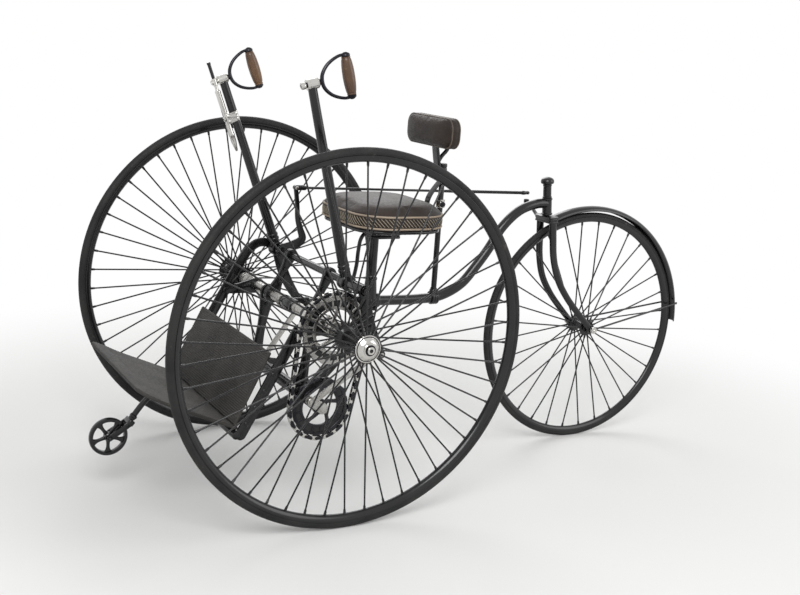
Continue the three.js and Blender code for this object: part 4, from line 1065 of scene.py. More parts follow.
    def _crank_bearing(self) -> None:
        """The crankshaft's bearing tube, hung from the casing on two flat hangers."""
        h = self.bearing_half
        profile = mirrored([(h - 22, 20), (h - 20, 22), (h - 2, 22), (h, 20), (h, 11.7)])
        Piece("crank_bearing", ENAMEL, "crank_bracket").add(
            lathe(profile, on(CRANK, 0), ring=True),
            [self._hanger(AXLE, CRANK, (27, 23, 11), y, 6, (0.17, 0.83), 7) for y in (15 - h, h - 15)]).make()


# ---- drive
def arm_end(name: str) -> Spot:
    """Design [x, z] of a lever arm's end: 210 from the shaft, and 5 degrees past the lever's lean."""
    t = math.radians(LEANS[name] + 5)
    return PIVOT[0] - 210 * math.sin(t), PIVOT[1] - 210 * math.cos(t)


def crank_pins(throw: float = 55.0) -> dict[str, Spot]:
    """Where each rod meets the crank's circle. Both rods are 6 longer than the mean distance from the arms'
    ends to the crank, and the pin's bearing from the crank is the arm end's bearing turned by the angle whose
    cosine follows from the three sides.

    Args:
        throw: Crankshaft to pin.

    Returns:
        The pins of the left and of the right rod.
    """
    ends = {name: np.subtract(arm_end(name), CRANK) for name in LEANS}
    long = sum(float(np.linalg.norm(v)) for v in ends.values()) / 2 + 6
    pins = {}
    for name, side in (("left", -1), ("right", 1)):
        x, z = ends[name]
        d = math.hypot(x, z)
        t = math.atan2(z, x) + side * math.acos((throw**2 + d * d - long**2) / (2 * throw * d))
        pins[name] = (CRANK[0] + throw * math.cos(t), CRANK[1] + throw * math.sin(t))
    return pins


@dataclass(frozen=True)
class ChainRing:
    """A chain wheel: a toothed rim, a web crossed by ribs, an inner ring, and five arms to a bolted boss."""

    centre: Spot  # the wheel's [x, z]
    y: float  # its plane
    pitch_r: float  # pitch radius
    teeth: int  # number of teeth, and of ribs
    rim: float  # depth of the rim
    band: float  # depth of the web
    ring: float  # depth of the inner ring
    boss: float  # radius of the boss
    arms: int = 5

    @property
    def middle(self) -> Array:
        """The wheel's middle in metres."""
        return on(self.centre, self.y)

    @property
    def root(self) -> float:
        """The radius between the teeth."""
        return self.pitch_r - 9.6

    def spoke(self, q: Array, a: Array | float) -> Array:
        """Places at the radii q in millimetres and the angles a, in metres."""
        return self.middle + np.stack([q * np.cos(a), 0 * q, q * np.sin(a)], 1) / 1000

    def _hoop(self, outer: Array, inner: float, half: float, edge: float = 0.8) -> Surface:
        """A flat hoop with eased edges.

        Args:
            outer: Outer radius at evenly spaced angles.
            inner: Inner radius.
            half: Half its thickness.
            edge: Width of the eased edges.

        Returns:
            The hoop.
        """
        t = round_turn(len(outer))
        low = half - edge
        loop = [(outer - edge, -half), (outer, -low), (outer, low), (outer - edge, half),
                (inner + edge, half), (inner, low), (inner, -low), (inner + edge, -half)]
        rings = [self.middle + np.stack([r * np.cos(t), 0 * t + h, r * np.sin(t)], 1) / 1000 for r, h in loop]
        return skin(np.stack(rings), closed_u=True)

    def bright(self) -> list[Surface]:
        """The toothed rim, whose radius follows a clipped cosine, its ribs, the inner ring, arms and boss.

        Returns:
            All the forms but the web.
        """
        inner = self.root - self.rim
        low, b = inner - self.band, self.boss
        wave = np.clip(np.cos(self.teeth * round_turn(self.teeth * 16)) * 2.5, -1, 1)
        boss = [(-6.5, 0), (-6.5, b - 2), (-4.5, b), (4.5, b), (6.5, b - 2), (6.5, b * 0.62), (9, b * 0.6),
                (9, 0)]
        forms = [self._hoop(self.root + 1.4 + 1.4 * wave, inner, 4.6),
                 self._hoop(np.full(240, low), low - self.ring, 4.2), lathe(boss, self.middle)]
        for a in round_turn(self.teeth) + math.pi / self.teeth:
            forms.append(strap(self.spoke(np.linspace(low - 2, inner + 2, 5), a), 3.9, 3.2, power=4.0))
        u = np.linspace(0, 1, 14)
        q = b - 4 + u * (low - self.ring + 8 - b)
        for a in round_turn(self.arms):
            arm = self.spoke(q, a + 0.4 * np.sin(math.pi * u * 0.5))
            stud = self.spoke(np.array([b * 0.8]), a + math.pi / self.arms)[0] + 0.0063 * Y_AXIS
            forms += [strap(arm, 3.4, 5.6 + 2.4 * (2 * u - 1) ** 2, power=3.0),
                      dome(stud, Y_AXIS, 3.4, 2.2, 12)]
        return forms

    def web(self) -> Surface:
        """The thin web between the rim and the inner ring."""
        inner = self.root - self.rim
        return self._hoop(np.full(240, inner + 1.5), inner - self.band - 1.5, 1.9)


@dataclass
class ChainDrive:
    """Crankshaft, both chain wheels, the block chain and the connecting rods."""

    top_r: float = 113.0  # upper wheel's pitch radius
    low_r: float = 98.0  # lower wheel's pitch radius
    y: float = 335.0  # plane of the chain
    blocks: int = 32  # blocks in the chain
    # plane of the crank's web on each side
    webs: tuple[tuple[str, float], ...] = (("left", 357.0), ("right", -227.0))
    # plane of the rod on each side, and of the lever arm that it hangs from
    rods: tuple[Spot, ...] = ((376.0, 391.0), (-246.0, -270.0))

    def build(self) -> None:
        """Makes each piece of the drive."""
        upper = ChainRing(AXLE, self.y, self.top_r, teeth=20, rim=12, band=18, ring=9.5, boss=26)
        lower = ChainRing(CRANK, self.y, self.low_r, teeth=17, rim=9, band=15, ring=8, boss=24)
        rings = (("upper", STEEL, "left_drive_wheel", upper), ("lower", BLUED, "crank", lower))
        for name, finish, body, ring in rings:
            cad = f"{name}_chain_wheel"
            Piece(f"{name}_chain_ring", finish, cad, body).add(ring.bright()).make()
            Piece(f"{name}_chain_web", ENAMEL, cad, body).add(ring.web()).make()
        self._chain()
        self._crank()
        self._rods()

    def _line(self, count: int) -> Array:
        """Evenly spaced places on the chain's line, an open belt round both pitch circles.

        Args:
            count: Number of places.

        Returns:
            Places as [x, z] in millimetres.
        """
        c0, c1 = np.array(AXLE), np.array(CRANK)
        d = c1 - c0
        gap, down = float(np.linalg.norm(d)), math.atan2(d[1], d[0])
        lap = math.acos((self.top_r - self.low_r) / gap)
        run = math.sqrt(gap**2 - (self.top_r - self.low_r) ** 2)
        ends = np.cumsum([0, self.top_r * (TURN - 2 * lap), run, self.low_r * 2 * lap, run])
        s = np.arange(count) / count * ends[-1]
        i = np.searchsorted(ends, s, side="right") - 1
        w = (s - ends[i])[:, None]
        n0, n1 = heading(np.array(down - lap)), heading(np.array(down + lap))
        places = [c0 + self.top_r * heading(down + lap + w[:, 0] / self.top_r),
                  c0 + self.top_r * n0 + w / run * (c1 - c0 + (self.low_r - self.top_r) * n0),
                  c1 + self.low_r * heading(down - lap + w[:, 0] / self.low_r),
                  c1 + self.low_r * n1 + w / run * (c0 - c1 + (self.top_r - self.low_r) * n1)]
        return np.select([(i == k)[:, None] for k in range(4)], places)

    def _chain(self) -> None:
        """Two pins a pitch: bright blocks hold one pair, and dark links of riveted plates hold the next."""
        spots = self._line(2 * self.blocks)
        after = np.roll(spots, -1, 0)
        half = float(np.linalg.norm(after[0] - spots[0])) / 2
        mid, way = (spots + after) / 2, unit(after - spots)
        place = at(mid[:, 0], self.y, mid[:, 1])
        along = np.stack([way[:, 0], 0 * way[:, 0], way[:, 1]], 1)
        out = np.broadcast_to(Y_AXIS, along.shape)
        frames = np.stack([along, np.cross(out, along), out], -1)
        flat = (np.zeros(3), (X_AXIS, Y_AXIS))
        body = slab(round_rect(2 * half + 5.5, 12.6, 2.0), -6.4, 6.4, 0.7, *flat)
        cheek = link_outline((-half, 0), (half, 0), 4.9, 4.9, 6)
        link = [slab(cheek, low, low + 1.5, 0.35, *flat) for low in (6.4, -7.9)]
        link += [dome(np.array([e * half / 1000, 0, s * 0.0078]), s * Z_AXIS, 2.6, 0.6, 8)
                 for e in (-1, 1) for s in (-1, 1)]
        link.append(slab(round_rect(2 * half - 3, 5.0, 1.2), -4.0, 4.0, 0.5, *flat))
        pin = lathe([(-6.8, 0), (-6.8, 3.4), (6.8, 3.4), (6.8, 0)], np.array([half / 1000, 0, 0]), Z_AXIS, 8)
        Piece("chain_blocks", PLATE, "drive_chain").add(body.copies(place[::2], frames[::2])).make()
        Piece("chain_links", BLUED, "drive_chain").add(
            [form.copies(place[1::2], frames[1::2]) for form in link], pin.copies(place, frames)).make()

    def _crank(self) -> None:
        """The crankshaft with a web, a nut and a pin's eye at each end."""
        (_, left), (_, right) = self.webs
        piece = Piece("crank_shaft", STEEL, "crankshaft", "crank")
        piece.add(tube(on(CRANK, right), on(CRANK, left), 11))
        nut = [(4.6, 0), (4.6, 13), (5.6, 12), (5.6, 0)]
        for name, y in self.webs:
            piece.add(side_slab(link_outline(CRANK, crank_pins()[name], 17, 12), y - 5, y + 5, 1.6),
                      lathe(nut, on(CRANK, y), Y_AXIS * -math.copysign(1, y), 32))
        piece.make()

    def _rods(self) -> None:
        """The two flat connecting rods with their bushed ends and pins."""
        for (name, web_y), (y, arm_y) in zip(self.webs, self.rods):
            (x, z), pin = arm_end(name), crank_pins()[name]
            out, toward = math.copysign(1, arm_y - y), math.copysign(1, web_y - y)
            bars = [(x, z, y, arm_y + out * 9, 7), (x, z, y, arm_y - out * 6, 11),
                    (*pin, y - toward * 9, web_y - toward * 10, 9)]
            Piece(f"{name}_rod_bar", STEEL, f"{name}_connecting_rod", f"{name}_rod").add(
                side_slab(link_outline((x, z), pin, 8.5, 9.5), y - 4, y + 4, 1.4),
                [drum(on(c, y), Y_AXIS, 5, r, (1.5, 1.5), 40) for c, r in (((x, z), 12.6), (pin, 13.6))],
                [tube(at(a, y0, h), at(a, y1, h), r) for a, h, y0, y1, r in bars]).make()


# ---- levers
@dataclass
class HandLever:
    """A rocking lever with its arm, bow handle and barrel grip."""

    name: str  # left or right
    y: float  # the lever's plane
    arm_y: float  # the plane of its arm
    eye_back: float  # rear end of the barrel at its top
    slid: float  # how far the handle's stud is slid back
    front: float  # front end of the stud
    sleeve: Spot  # ends of the sleeve on the lever shaft
    headed: bool  # whether the stud has a round head in front of the barrel
    long: float = 605.0  # shaft to stud
    grip_back: float = 120.0  # lever to grip
    grip_half: float = 56.0  # half of the grip's length

    def __post_init__(self) -> None:
        """Works out the lever's own directions."""
        t = math.radians(LEANS[self.name])
        self.up = np.array([math.sin(t), 0, math.cos(t)])
        self.back = np.array([-math.cos(t), 0, math.sin(t)])
        self.root = on(PIVOT, self.y)
        self.body = f"{self.name}_hand_lever"

    def spot(self, up: float, back: float = 0.0) -> Array:
        """A place so far up the lever and so far behind it."""
        return self.root + (up * self.up + back * self.back) / 1000

    def held(self, up: float, back: float) -> Array:
        """A place on the handle, measured from the barrel's middle."""
        return self.spot(self.long + up, back + self.slid)

    def build(self) -> None:
        """Makes the lever, its handle and its grip."""
        self._lever()
        self._handle()
        self._grip()

    def _lever(self) -> None:
        """A bar that tapers evenly, with a ringed boss, a sleeve, a bowed arm and a ringed barrel on top."""
        tip, cad = arm_end(self.name), f"{self.name}_lever"
        bar = sweep(between(self.root, self.spot(self.long), 24), 0.0165 - 0.0030 * np.linspace(0, 1, 24), 32)
        boss = [(4, 23.5), (6, 25), (17, 25), (20, 22), (20, 0)]
        nut = [(4, 0), (4, 9.5), (6.4, 8.5), (6.4, 5), (5.4, 4), (5.4, 0)]
        out = math.copysign(1, self.arm_y)
        Piece(f"{self.name}_lever_bar", ENAMEL, cad, self.body).add(
            bar, [drum(self.spot(s), self.up, 5, 18.4, (2, 1.4), bore=10) for s in (38, 52)],
            lathe(mirrored(boss), self.root),
            side_slab(self._blade(tip), self.arm_y - 5, self.arm_y + 5, 1.8),
            tube(*(on(PIVOT, y) for y in self.sleeve), 16.5, 36),
            lathe(nut, on(tip, self.arm_y), out * Y_AXIS, 28)).make()
        e = self.eye_back
        barrel = [(-17, 0), (-17, 14.2), (-15.4, 16), (-9, 16), (-8, 15), (-6, 15), (-5, 16), (e - 6, 16),
                  (e - 5, 15), (e - 3.5, 15), (e - 2.5, 16), (e, 14.2), (e, 0)]
        Piece(f"{self.name}_lever_barrel", PLATE, cad, self.body).add(
            lathe(barrel, self.spot(self.long), self.back, 44)).make()

    def _blade(self, tip: Spot) -> Array:
        """The arm's outline: 17 round the shaft and 13 round its end, bowed ahead and swelled by half a sine.

        Args:
            tip: The arm's end as [x, z].

        Returns:
            The outline, anticlockwise.
        """
        a, b = np.array(PIVOT), np.array(tip)
        u = np.linspace(0, 1, 24)[:, None]
        swell = np.sin(math.pi * u)
        d = unit(b - a)
        n = np.array([-d[1], d[0]])
        mid = a + u * (b - a) + 12 * swell * n
        half = 17 - 4 * u + 3 * swell
        t = np.linspace(0, math.pi, 14)[1:-1, None]
        loop = np.vstack([mid + half * n, b + 13 * (np.cos(t) * n + np.sin(t) * d), (mid - half * n)[::-1],
                          a - 17 * (np.cos(t) * n + np.sin(t) * d)])
        return loop[::-1]

    def _handle(self) -> None:
        """The stud through the barrel with two rings, and the bow with a cup at each end of the grip."""
        p, g, b, e, cad = self.held, self.grip_half, self.grip_back, self.eye_back, f"{self.name}_handle"
        half = [(g + 7, b), (g + 5, b - 26), (44, 58), (20, 38)]
        bow = [*half, (0, 34), *[(-up, back) for up, back in half[::-1]]]
        hoop = spline(np.array([p(*place) for place in bow]), 12)
        u = np.linspace(-1, 1, len(hoop))
        neck_end = max(34 + self.slid, e + 9)
        neck = [(self.front, 0), (self.front, 7.5), (self.front + 1, 8), (e + 1, 8), (e + 2, 9.4),
                (e + 4, 9.4), (e + 5, 7.6), (e + 6, 9), (e + 7.6, 9), (e + 8.6, 7), (neck_end, 6.6),
                (neck_end + 4, 0)]
        cup = [(0.3, 0), (0.3, 12.6), (1.5, 13.6), (5.5, 13.4), (8, 12), (10.4, 9.6), (12.6, 6.4), (13.8, 3),
               (14, 0)]
        Piece(f"{self.name}_bow_handle", BLUED, cad, self.body).add(
            sweep(hoop, 0.0046 + 0.0012 * (1 - u**2) ** 2, 16),
            lathe(neck, self.spot(self.long), self.back, 32),
            [lathe(cup, p(s * g, b), self.up * s, 32) for s in (1, -1)]).make()
        if self.headed:
            knob = [(0, 0), (0, 8.2), (1.6, 10.2), (4, 10.5), (11, 10.5), (13, 9.6), (14, 8), (14, 0)]
            ring = [(-0.6, 4.6), (-0.6, 6.6), (0.6, 6.6), (0.6, 4.6)]
            end = self.spot(self.long, self.front)
            Piece(f"{self.name}_stud_head", PLATE, cad, self.body).add(
                lathe(knob, end, self.back, 36), lathe(ring, end, self.back, 28, ring=True)).make()

    def _grip(self) -> None:
        """A turned barrel that swells as a power of a cosine to its belly, with a bead at each end."""
        g = self.grip_half
        s = np.linspace(-1, 1, 33)
        half = [(-g, 0), (-g, 12.2), (-g + 1, 13.6), (-g + 3, 14.0), (-g + 4.4, 13.0)]
        belly = np.stack([s * (g - 5), 13.2 + 5.3 * np.cos(s * math.pi / 2) ** 0.6], 1)
        profile = np.vstack([half, belly, [(-a, r) for a, r in half[::-1]]])
        Piece(f"{self.name}_barrel_grip", WOOD, f"{self.name}_grip", self.body, 40).add(
            lathe(profile, self.held(0, self.grip_back), self.up)).make()


@dataclass
class HandLevers:
    """Both levers, and the lock rod of the right one."""

    off: float = -29.0  # lever to lock rod, ahead
    clamp_down: float = 125.0  # barrel to the rod's clamp

    def build(self) -> None:
        """Makes both levers and the lock rod."""
        HandLever("left", 270, 391, eye_back=21, slid=0, front=-34, sleeve=(270, 396), headed=True).build()
        right = HandLever("right", -270, -270, eye_back=15, slid=-6, front=-17, sleeve=(-290, -250),
                          headed=False)
        right.build()
        self._lock(right)

    def _lock(self, lever: HandLever) -> None:
        """A rod along the right lever's front: thumb end, guide ring, bolted clamp and tapered tail.

        Args:
            lever: The right lever.
        """
        top = lever.spot(lever.long, self.off)
        low, ahead = lever.long - self.clamp_down, -lever.back
        line = [(-238, 0), (-238, 3), (-234, 4.4), (-205, 9), (-186, 9), (-184, 10), (-178, 10), (-176, 9),
                (-150, 9), (-40, 9), (-36, 9.6), (-31, 9.6), (-29, 7), (-26, 5.6), (-10, 5.6), (-10, 0)]
        thumb = [(-12, 0), (-12, 5.5), (57, 5.5), (58.5, 6.4), (64, 6.4), (66, 5.2), (66, 0)]
        stud = [(-12, 0), (-12, 6), (-11, 8), (-6, 8.2), (-4, 7.4), (14, 7.4), (14, 0)]
        hole = [(-12.6, 3.2), (-12.6, 4.8), (-11.5, 4.8), (-11.5, 3.2)]
        boss = [(0, 0), (0, 10), (1.5, 11), (3, 10), (3, 0)]
        heads = [lever.spot(low + u, back) + 0.0198 * Y_AXIS for u in (-9, 9) for back in (-27, 3)]
        body, cad = "right_hand_lever", "right_lock_rod"
        Piece("lock_rod_bar", PLATE, cad, body).add(
            lathe(line, top, lever.up, 28), drum(top, lever.up, 12, 8.6, (1.5, 1.2), bore=5),
            lathe(stud, top, lever.back, 32), lathe(hole, top, lever.back, 24, ring=True)).make()
        Piece("lock_rod_thumb", ENAMEL, cad, body).add(lathe(thumb, top, lever.up, 24)).make()
        Piece("lock_rod_clamp", PLATE, cad, body).add(
            block(lever.spot(low, -12), (44, 40, 34), (ahead, Y_AXIS), 2.4, 7),
            [dome(head, Y_AXIS, 5.2, 3.2) for head in heads], lathe(boss, lever.spot(low, -33.6), ahead, 32),
            dome(lever.spot(low, -36.4), ahead, 9, 3.4, 24)).make()


# ---- footrest
@dataclass
class Footrest:
    """The hung foot frame with its two ribbed boards, its links and the small castor under the toe."""

    half: float = 296.0  # half the boards' width
    thick: float = 11.0
    corner: float = 55.0  # radius of the toe's corners
    rib: float = 6.6  # distance between ribs
    # the sole board's underside from heel to toe
    bends: tuple[Spot, ...] = ((278, 264), (385, 309), (470, 345), (520, 370), (572, 396))
    calf: tuple[Spot, Spot] = ((180.0, 490.0), (281.0, 278.0))  # ends of the calf board's underside
    bar_y: float = 300.3  # middle plane of the side bars
    elbow: Spot = (17.0, 716.0)  # a place over the casing, from which the bars run straight to the heel
    heel: Spot = (268.0, 252.0)  # where the bars end
    heel_rod: Spot = (282, 251)  # the thick rod at the heel
    top_rod: Spot = (184, 470)  # the thin rod behind the calf board
    tops: Spot = (558, 630)  # height of the left and of the right bar's straight part
    # heights of the bolts on the left and on the right bar
    bolts: tuple[tuple[int, ...], ...] = ((282, 330, 378, 426), (282, 378, 470, 600, 660))
    link_y: float = 290.0  # middle plane of the links to the casing
    knee: Spot = (511, 218)  # crown of the castor's fork
    castor: Spot = (575.0, 176.0)  # the castor's axle
    castor_arms: int = 5  # number of arms in the castor's wheel

    def build(self) -> None:
        """Makes the boards, the bars, the links and the castor."""
        self._boards()
        self._bars()
        self._links()
        self._castor_fork()
        self._castor_wheel()

    def on_bar(self, z: float) -> Spot:
        """The bars' middle line at a height, as design [x, z]."""
        (x0, z0), (x1, z1) = self.elbow, self.heel
        return x0 + (x1 - x0) * (z - z0) / (z1 - z0), z

    def _board(self, line: Array, wide: Array) -> Surface:
        """A board over a line of its underside. Its section is a rounded bar across the machine, and its top
        rises and falls along the line as a clipped cosine, one crest a rib.

        Args:
            line: Underside as design [x, z], evenly spaced.
            wide: Half width at each of its points.

        Returns:
            The board.
        """
        way = unit(np.gradient(line, axis=0))
        n = np.stack([-way[:, 1], way[:, 0]], 1)
        run = along_line(line)
        end = np.clip(np.minimum(run, run[-1] - run) / 5, 0, 1)
        ridge = 0.55 * np.clip(1.6 * np.cos(TURN * run / self.rib), -1, 1) * end
        t = np.linspace(0, math.pi, 9)
        r = self.thick / 2
        ring_y = np.append(r * (np.sin(t) - 1), -9)
        ring_h = np.append(r * (1 - np.cos(t)), self.thick)
        ring_y, ring_h = (np.concatenate([half, half[::-1]]) for half in (ring_y, ring_h))
        y = np.repeat([1, -1], len(ring_y) // 2) * (wide[:, None] + ring_y)
        crown = np.sqrt(np.clip(1 - (1 - end) ** 2, 0.0, 1))[:, None]
        middle = r - 0.5
        high = middle + (ring_h * (self.thick - 1) / self.thick - middle) * (0.35 + 0.65 * crown)
        high = high + np.where(ring_h > self.thick - 0.5, ridge[:, None] + 0.3, 0)
        xz = line[:, None] + high[..., None] * n[:, None]
        return skin(at(xz[..., 0], y, xz[..., 1]))

    def _boards(self) -> None:
        """The sole board with its turned-up, round-cornered toe, and the straight calf board. The sole's
        places stand 1.1 apart, and over the last 62 they close up as a sine towards the toe."""
        curve = spline(np.array([(x, 0.0, z) for x, z in self.bends]), 60)[:, [0, 2]]
        run, last = along_line(curve), 62
        close = run[-1] - last * (1 - np.sin(np.linspace(0, math.pi / 2, 24)[1:]))
        s = np.concatenate([np.arange(0, run[-1] - last, 1.1), close])
        sole = np.stack([np.interp(s, run, curve[:, k]) for k in (0, 1)], 1)
        past = np.clip(sole[:, 0] - (self.bends[-1][0] - self.corner), 0, self.corner)
        wide = self.half - self.corner + np.sqrt(self.corner**2 - past**2)
        calf = between(*np.array(self.calf), 214)
        boards = (("sole", sole, np.maximum(wide, 30)), ("calf", calf, np.full(len(calf), self.half)))
        for name, line, half in boards:
            Piece(f"{name}_tread", MAT, f"{name}_board", crease=38).add(self._board(line, half)).make()

    def _bars(self) -> None:
        """Side bars with ring bolts, the thick heel rod with its end caps, and the thin top rod. The right
        bar goes on in a curve to an eye on the lever shaft."""
        rod, top, w = self.heel_rod, self.top_rod, self.bar_y
        piece = Piece("footrest_bars", ENAMEL, "footrest_frame")
        bolt = [(3.4, 0), (3.4, 8.4), (5.2, 8.4), (6, 7.4), (6, 5), (5, 4), (5, 0)]
        for s, high, heights in zip((1, -1), self.tops, self.bolts):
            y = s * w
            piece.add(side_slab(link_outline(self.on_bar(high), self.heel, 17, 17), y - 4, y + 4, 1.2),
                      side_slab(link_outline(self.on_bar(462), top, 12, 9), y - 3.5, y + 3.5, 1.2),
                      dome(on(rod, y + s * 3.8), Y_AXIS * s, 12, 3, 32),
                      [lathe(bolt, at(self.on_bar(z)[0], y, z), Y_AXIS * s, 24) for z in heights])
        bends = (PIVOT, (-32, 706), (-2, 705), (27, 685), (49, 655), self.on_bar(625), self.on_bar(600))
        neck = side_curve(-w, bends, 12)
        piece.add(strap(neck, 4.5, np.linspace(14.5, 16.8, len(neck)), power=7.0),
                  banded(on(PIVOT, -w), Y_AXIS, 18, 5.6, 1),
                  tube(on(rod, -w - 4), on(rod, w + 4), 12.6, 36),
                  tube(on(top, -w), on(top, w), 7)).make()

    def _links(self) -> None:
        """The short flat links from the casing to the side bars, each with a bolt."""
        foot = self.on_bar(546)
        for name, s in (("left", 1), ("right", -1)):
            y = s * self.link_y
            Piece(f"{name}_hanger_link", ENAMEL, f"{name}_footrest_link").add(
                side_slab(link_outline(AXLE, foot, 27, 11), y - 6, y + 6, 1.8),
                banded(on(AXLE, y), Y_AXIS, 25, 8, 1), tube(on(foot, y - s * 4), on(foot, y + s * 16), 6),
                nut_pair(on(foot, y + s * 14), Y_AXIS * s, 8.5)).make()

    def _castor_fork(self) -> None:
        """The stem, swelled to a knuckle by a bell curve, with its crown and two blades."""
        line = side_curve(0, (self.heel_rod, (312, 264), (380, 297), (428, 307), (464, 279), (511, 219)))
        u = np.linspace(0, 1, len(line))
        d = unit(np.array([47.0, 0, -60.0]))
        collar = [(-14, 0), (-14, 10.5), (-12, 12), (-6, 12), (-4, 10.5), (0, 10.5), (0, 0)]
        Piece("castor_fork", ENAMEL, "castor_stem").add(
            sweep(line, 0.009 + 0.0035 * np.exp(-((u - 0.62) / 0.07) ** 2), 28),
            block(on(self.knee, 0), (47.4, 22, 16), (Y_AXIS, np.cross(d, Y_AXIS)), 2.5, 8),
            lathe(collar, at(505, 0, 226), d, 32),
            [side_slab(link_outline(self.knee, self.castor, 8, 9), y - 3, y + 3, 1.0) for y in (-20, 20)],
            [nut_pair(on(self.castor, s * 23), Y_AXIS * s, 6.0) for s in (-1, 1)],
            tube(on(self.castor, -23), on(self.castor, 23), 5)).make()

    def _castor_wheel(self) -> None:
        """A cast wheel: a round rim, a bored boss, and arms that flare as a power towards both ends."""
        centre = on(self.castor, 0)
        t = np.linspace(-1, 1, 13)
        face = np.stack([9 * t, 55.6 + 3.4 * np.sqrt(1 - 0.9 * t**2)], 1)
        rim = np.vstack([face, [(9, 48), (6, 47), (-6, 47), (-9, 48)]])
        u = np.linspace(0, 1, 12)
        wide = 4.6 + 2.2 * (1 - u) ** 3 + 10 * u**5
        ways = heading(round_turn(self.castor_arms) + math.radians(54)) @ np.stack([X_AXIS, Z_AXIS])
        Piece("castor_casting", ENAMEL, "castor_wheel", "castor").add(
            lathe(rim, centre, Y_AXIS, 72, ring=True), drum(centre, Y_AXIS, 12, 13, (2, 3), 36, bore=5.6),
            [strap(centre + (0.010 + 0.039 * u)[:, None] * d, 4.4, wide, power=3.0) for d in ways]).make()


# ---- padded pieces
@dataclass(frozen=True)
class Cover:
    """A stuffed hide cover: an outline, a band between two piped seams, and a crown over it."""

    size: Spot  # width and height of the outline
    corner: float  # radius of its corners
    seams: Spot  # heights of the two seams
    high: float  # height of the crown
    bulge: float  # how far the band stands out between the seams
    foot: float  # how far the flat bottom is drawn in
    origin: Array  # middle of the flat bottom, in metres
    turn: tuple[Array, Array]  # directions of the outline's width and height

    @property
    def up(self) -> Array:
        """The direction that the crown faces."""
        return np.cross(*self.turn)

    def place(self, p: Array, h: Array | float) -> Array:
        """Outline places at a height, in metres."""
        e1, e2 = self.turn
        return self.origin + (p[..., :1] * e1 + p[..., 1:] * e2 + np.asarray(h)[..., None] * self.up) / 1000

    def surface(self) -> Surface:
        """The cover before it swells. Up the side the outline moves out by bulge times half a sine between
        the seams. Over the crown it shrinks to the middle by a share f, and the height over the upper seam is
        the crown's rise times (1 - (1 - f)**3.6)**0.52.

        Returns:
            The closed cover.
        """
        p, n = rounded_run(self.size, self.corner, 240)
        a, b = self.seams
        side = [(0.0, -self.foot), (0.6, -self.foot * 0.5), (a * 0.35, -2.4), (a * 0.7, -0.8)]
        side += [(a + (b - a) * v, self.bulge * math.sin(math.pi * v)) for v in np.linspace(0, 1, 9)]
        f = np.concatenate([[0.012, 0.03, 0.055, 0.09, 0.14, 0.2, 0.28], np.linspace(0.36, 0.97, 9)])
        rise = (self.high - b) * (1 - (1 - f) ** 3.6) ** 0.52
        rings = [self.place(p + n * out, np.full(len(p), h)) for h, out in side]
        rings += [self.place(p * (1 - g), np.full(len(p), b + r)) for g, r in zip(f, rise)]
        return skin(np.stack(rings))

    def build(self, name: str, finish: Finish, node: str, most: float, fill: float) -> None:
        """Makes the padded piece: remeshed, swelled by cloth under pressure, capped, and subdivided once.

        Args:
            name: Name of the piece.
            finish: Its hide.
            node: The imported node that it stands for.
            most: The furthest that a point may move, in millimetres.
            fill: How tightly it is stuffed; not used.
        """
        piece = Piece(name, finish, node, crease=32).add(self.surface())
        obj = new_object(name, piece.mesh())
        change(obj, "REMESH", mode="VOXEL", voxel_size=0.005, use_smooth_shade=True)
        rest = corners(obj)
        step = swell(obj) - rest
        far = np.linalg.norm(step, axis=1, keepdims=True)
        # Nothing moves up to 2 over the upper seam, all is free 20 higher, and 3 u**2 - 2 u**3 lies
        # between.
        u = np.clip(((rest - self.origin) @ self.up * 1000 - self.seams[1] - 2) / 20, 0, 1)[:, None]
        step *= np.minimum(1, most / 1000 / np.maximum(far, 1e-9)) * (u * u * (3 - 2 * u))
        obj.data.vertices.foreach_set("co", (rest + step).astype(np.float32).ravel())
        obj.data.update()
        change(obj, "SUBSURF", levels=1, render_levels=1)
        smooth(obj.data, 60)
        piece.dress(obj)

    def piping(self, name: str, r: float, finish: Finish) -> None:
        """A rolled cord of hide sewn in along each seam, just proud of it.

        Args:
            name: Name of the piece.
            r: Radius of the cord.
            finish: Its hide.
        """
        p, n = rounded_run(self.size, self.corner, 320)
        lines = [self.place(p + n * 0.6, np.full(len(p), h)) for h in self.seams]
        cords = [sweep(line, r / 1000, 12, self.up, closed=True) for line in lines]
        Piece(name, finish, crease=32).add(cords).make()

    def stitches(self, name: str, apart: float = 12.0, fine: int = 1200) -> None:
        """Slanted stitches from seam to seam, each a thin thread that follows the band's bulge.

        Args:
            name: Name of the piece.
            apart: Distance between neighbours.
            fine: Places on the outline, to the nearest of which a stitch's points go.
        """
        p, n = rounded_run(self.size, self.corner, fine)
        a, b = self.seams
        round_it = np.sum(np.linalg.norm(np.roll(p, -1, 0) - p, axis=1))
        count = int(round_it / apart)
        u = np.linspace(0.16, 0.84, 7)
        k = ((np.arange(count)[:, None] / count - (u - 0.5) * (b - a) / round_it) * fine).astype(int) % fine
        out = (self.bulge * np.sin(math.pi * u) + 0.5)[:, None]
        lines = self.place(p[k] + n[k] * out, np.broadcast_to(a + (b - a) * u, k.shape))
        r = 0.0008 * np.sqrt(np.clip(1 - (2 * u - 1) ** 6, 0.02, 1))
        threads = [sweep(line, r, 6, self.up + 0.01) for line in lines]
        Piece(name, THREAD, crease=60).add(threads).make()


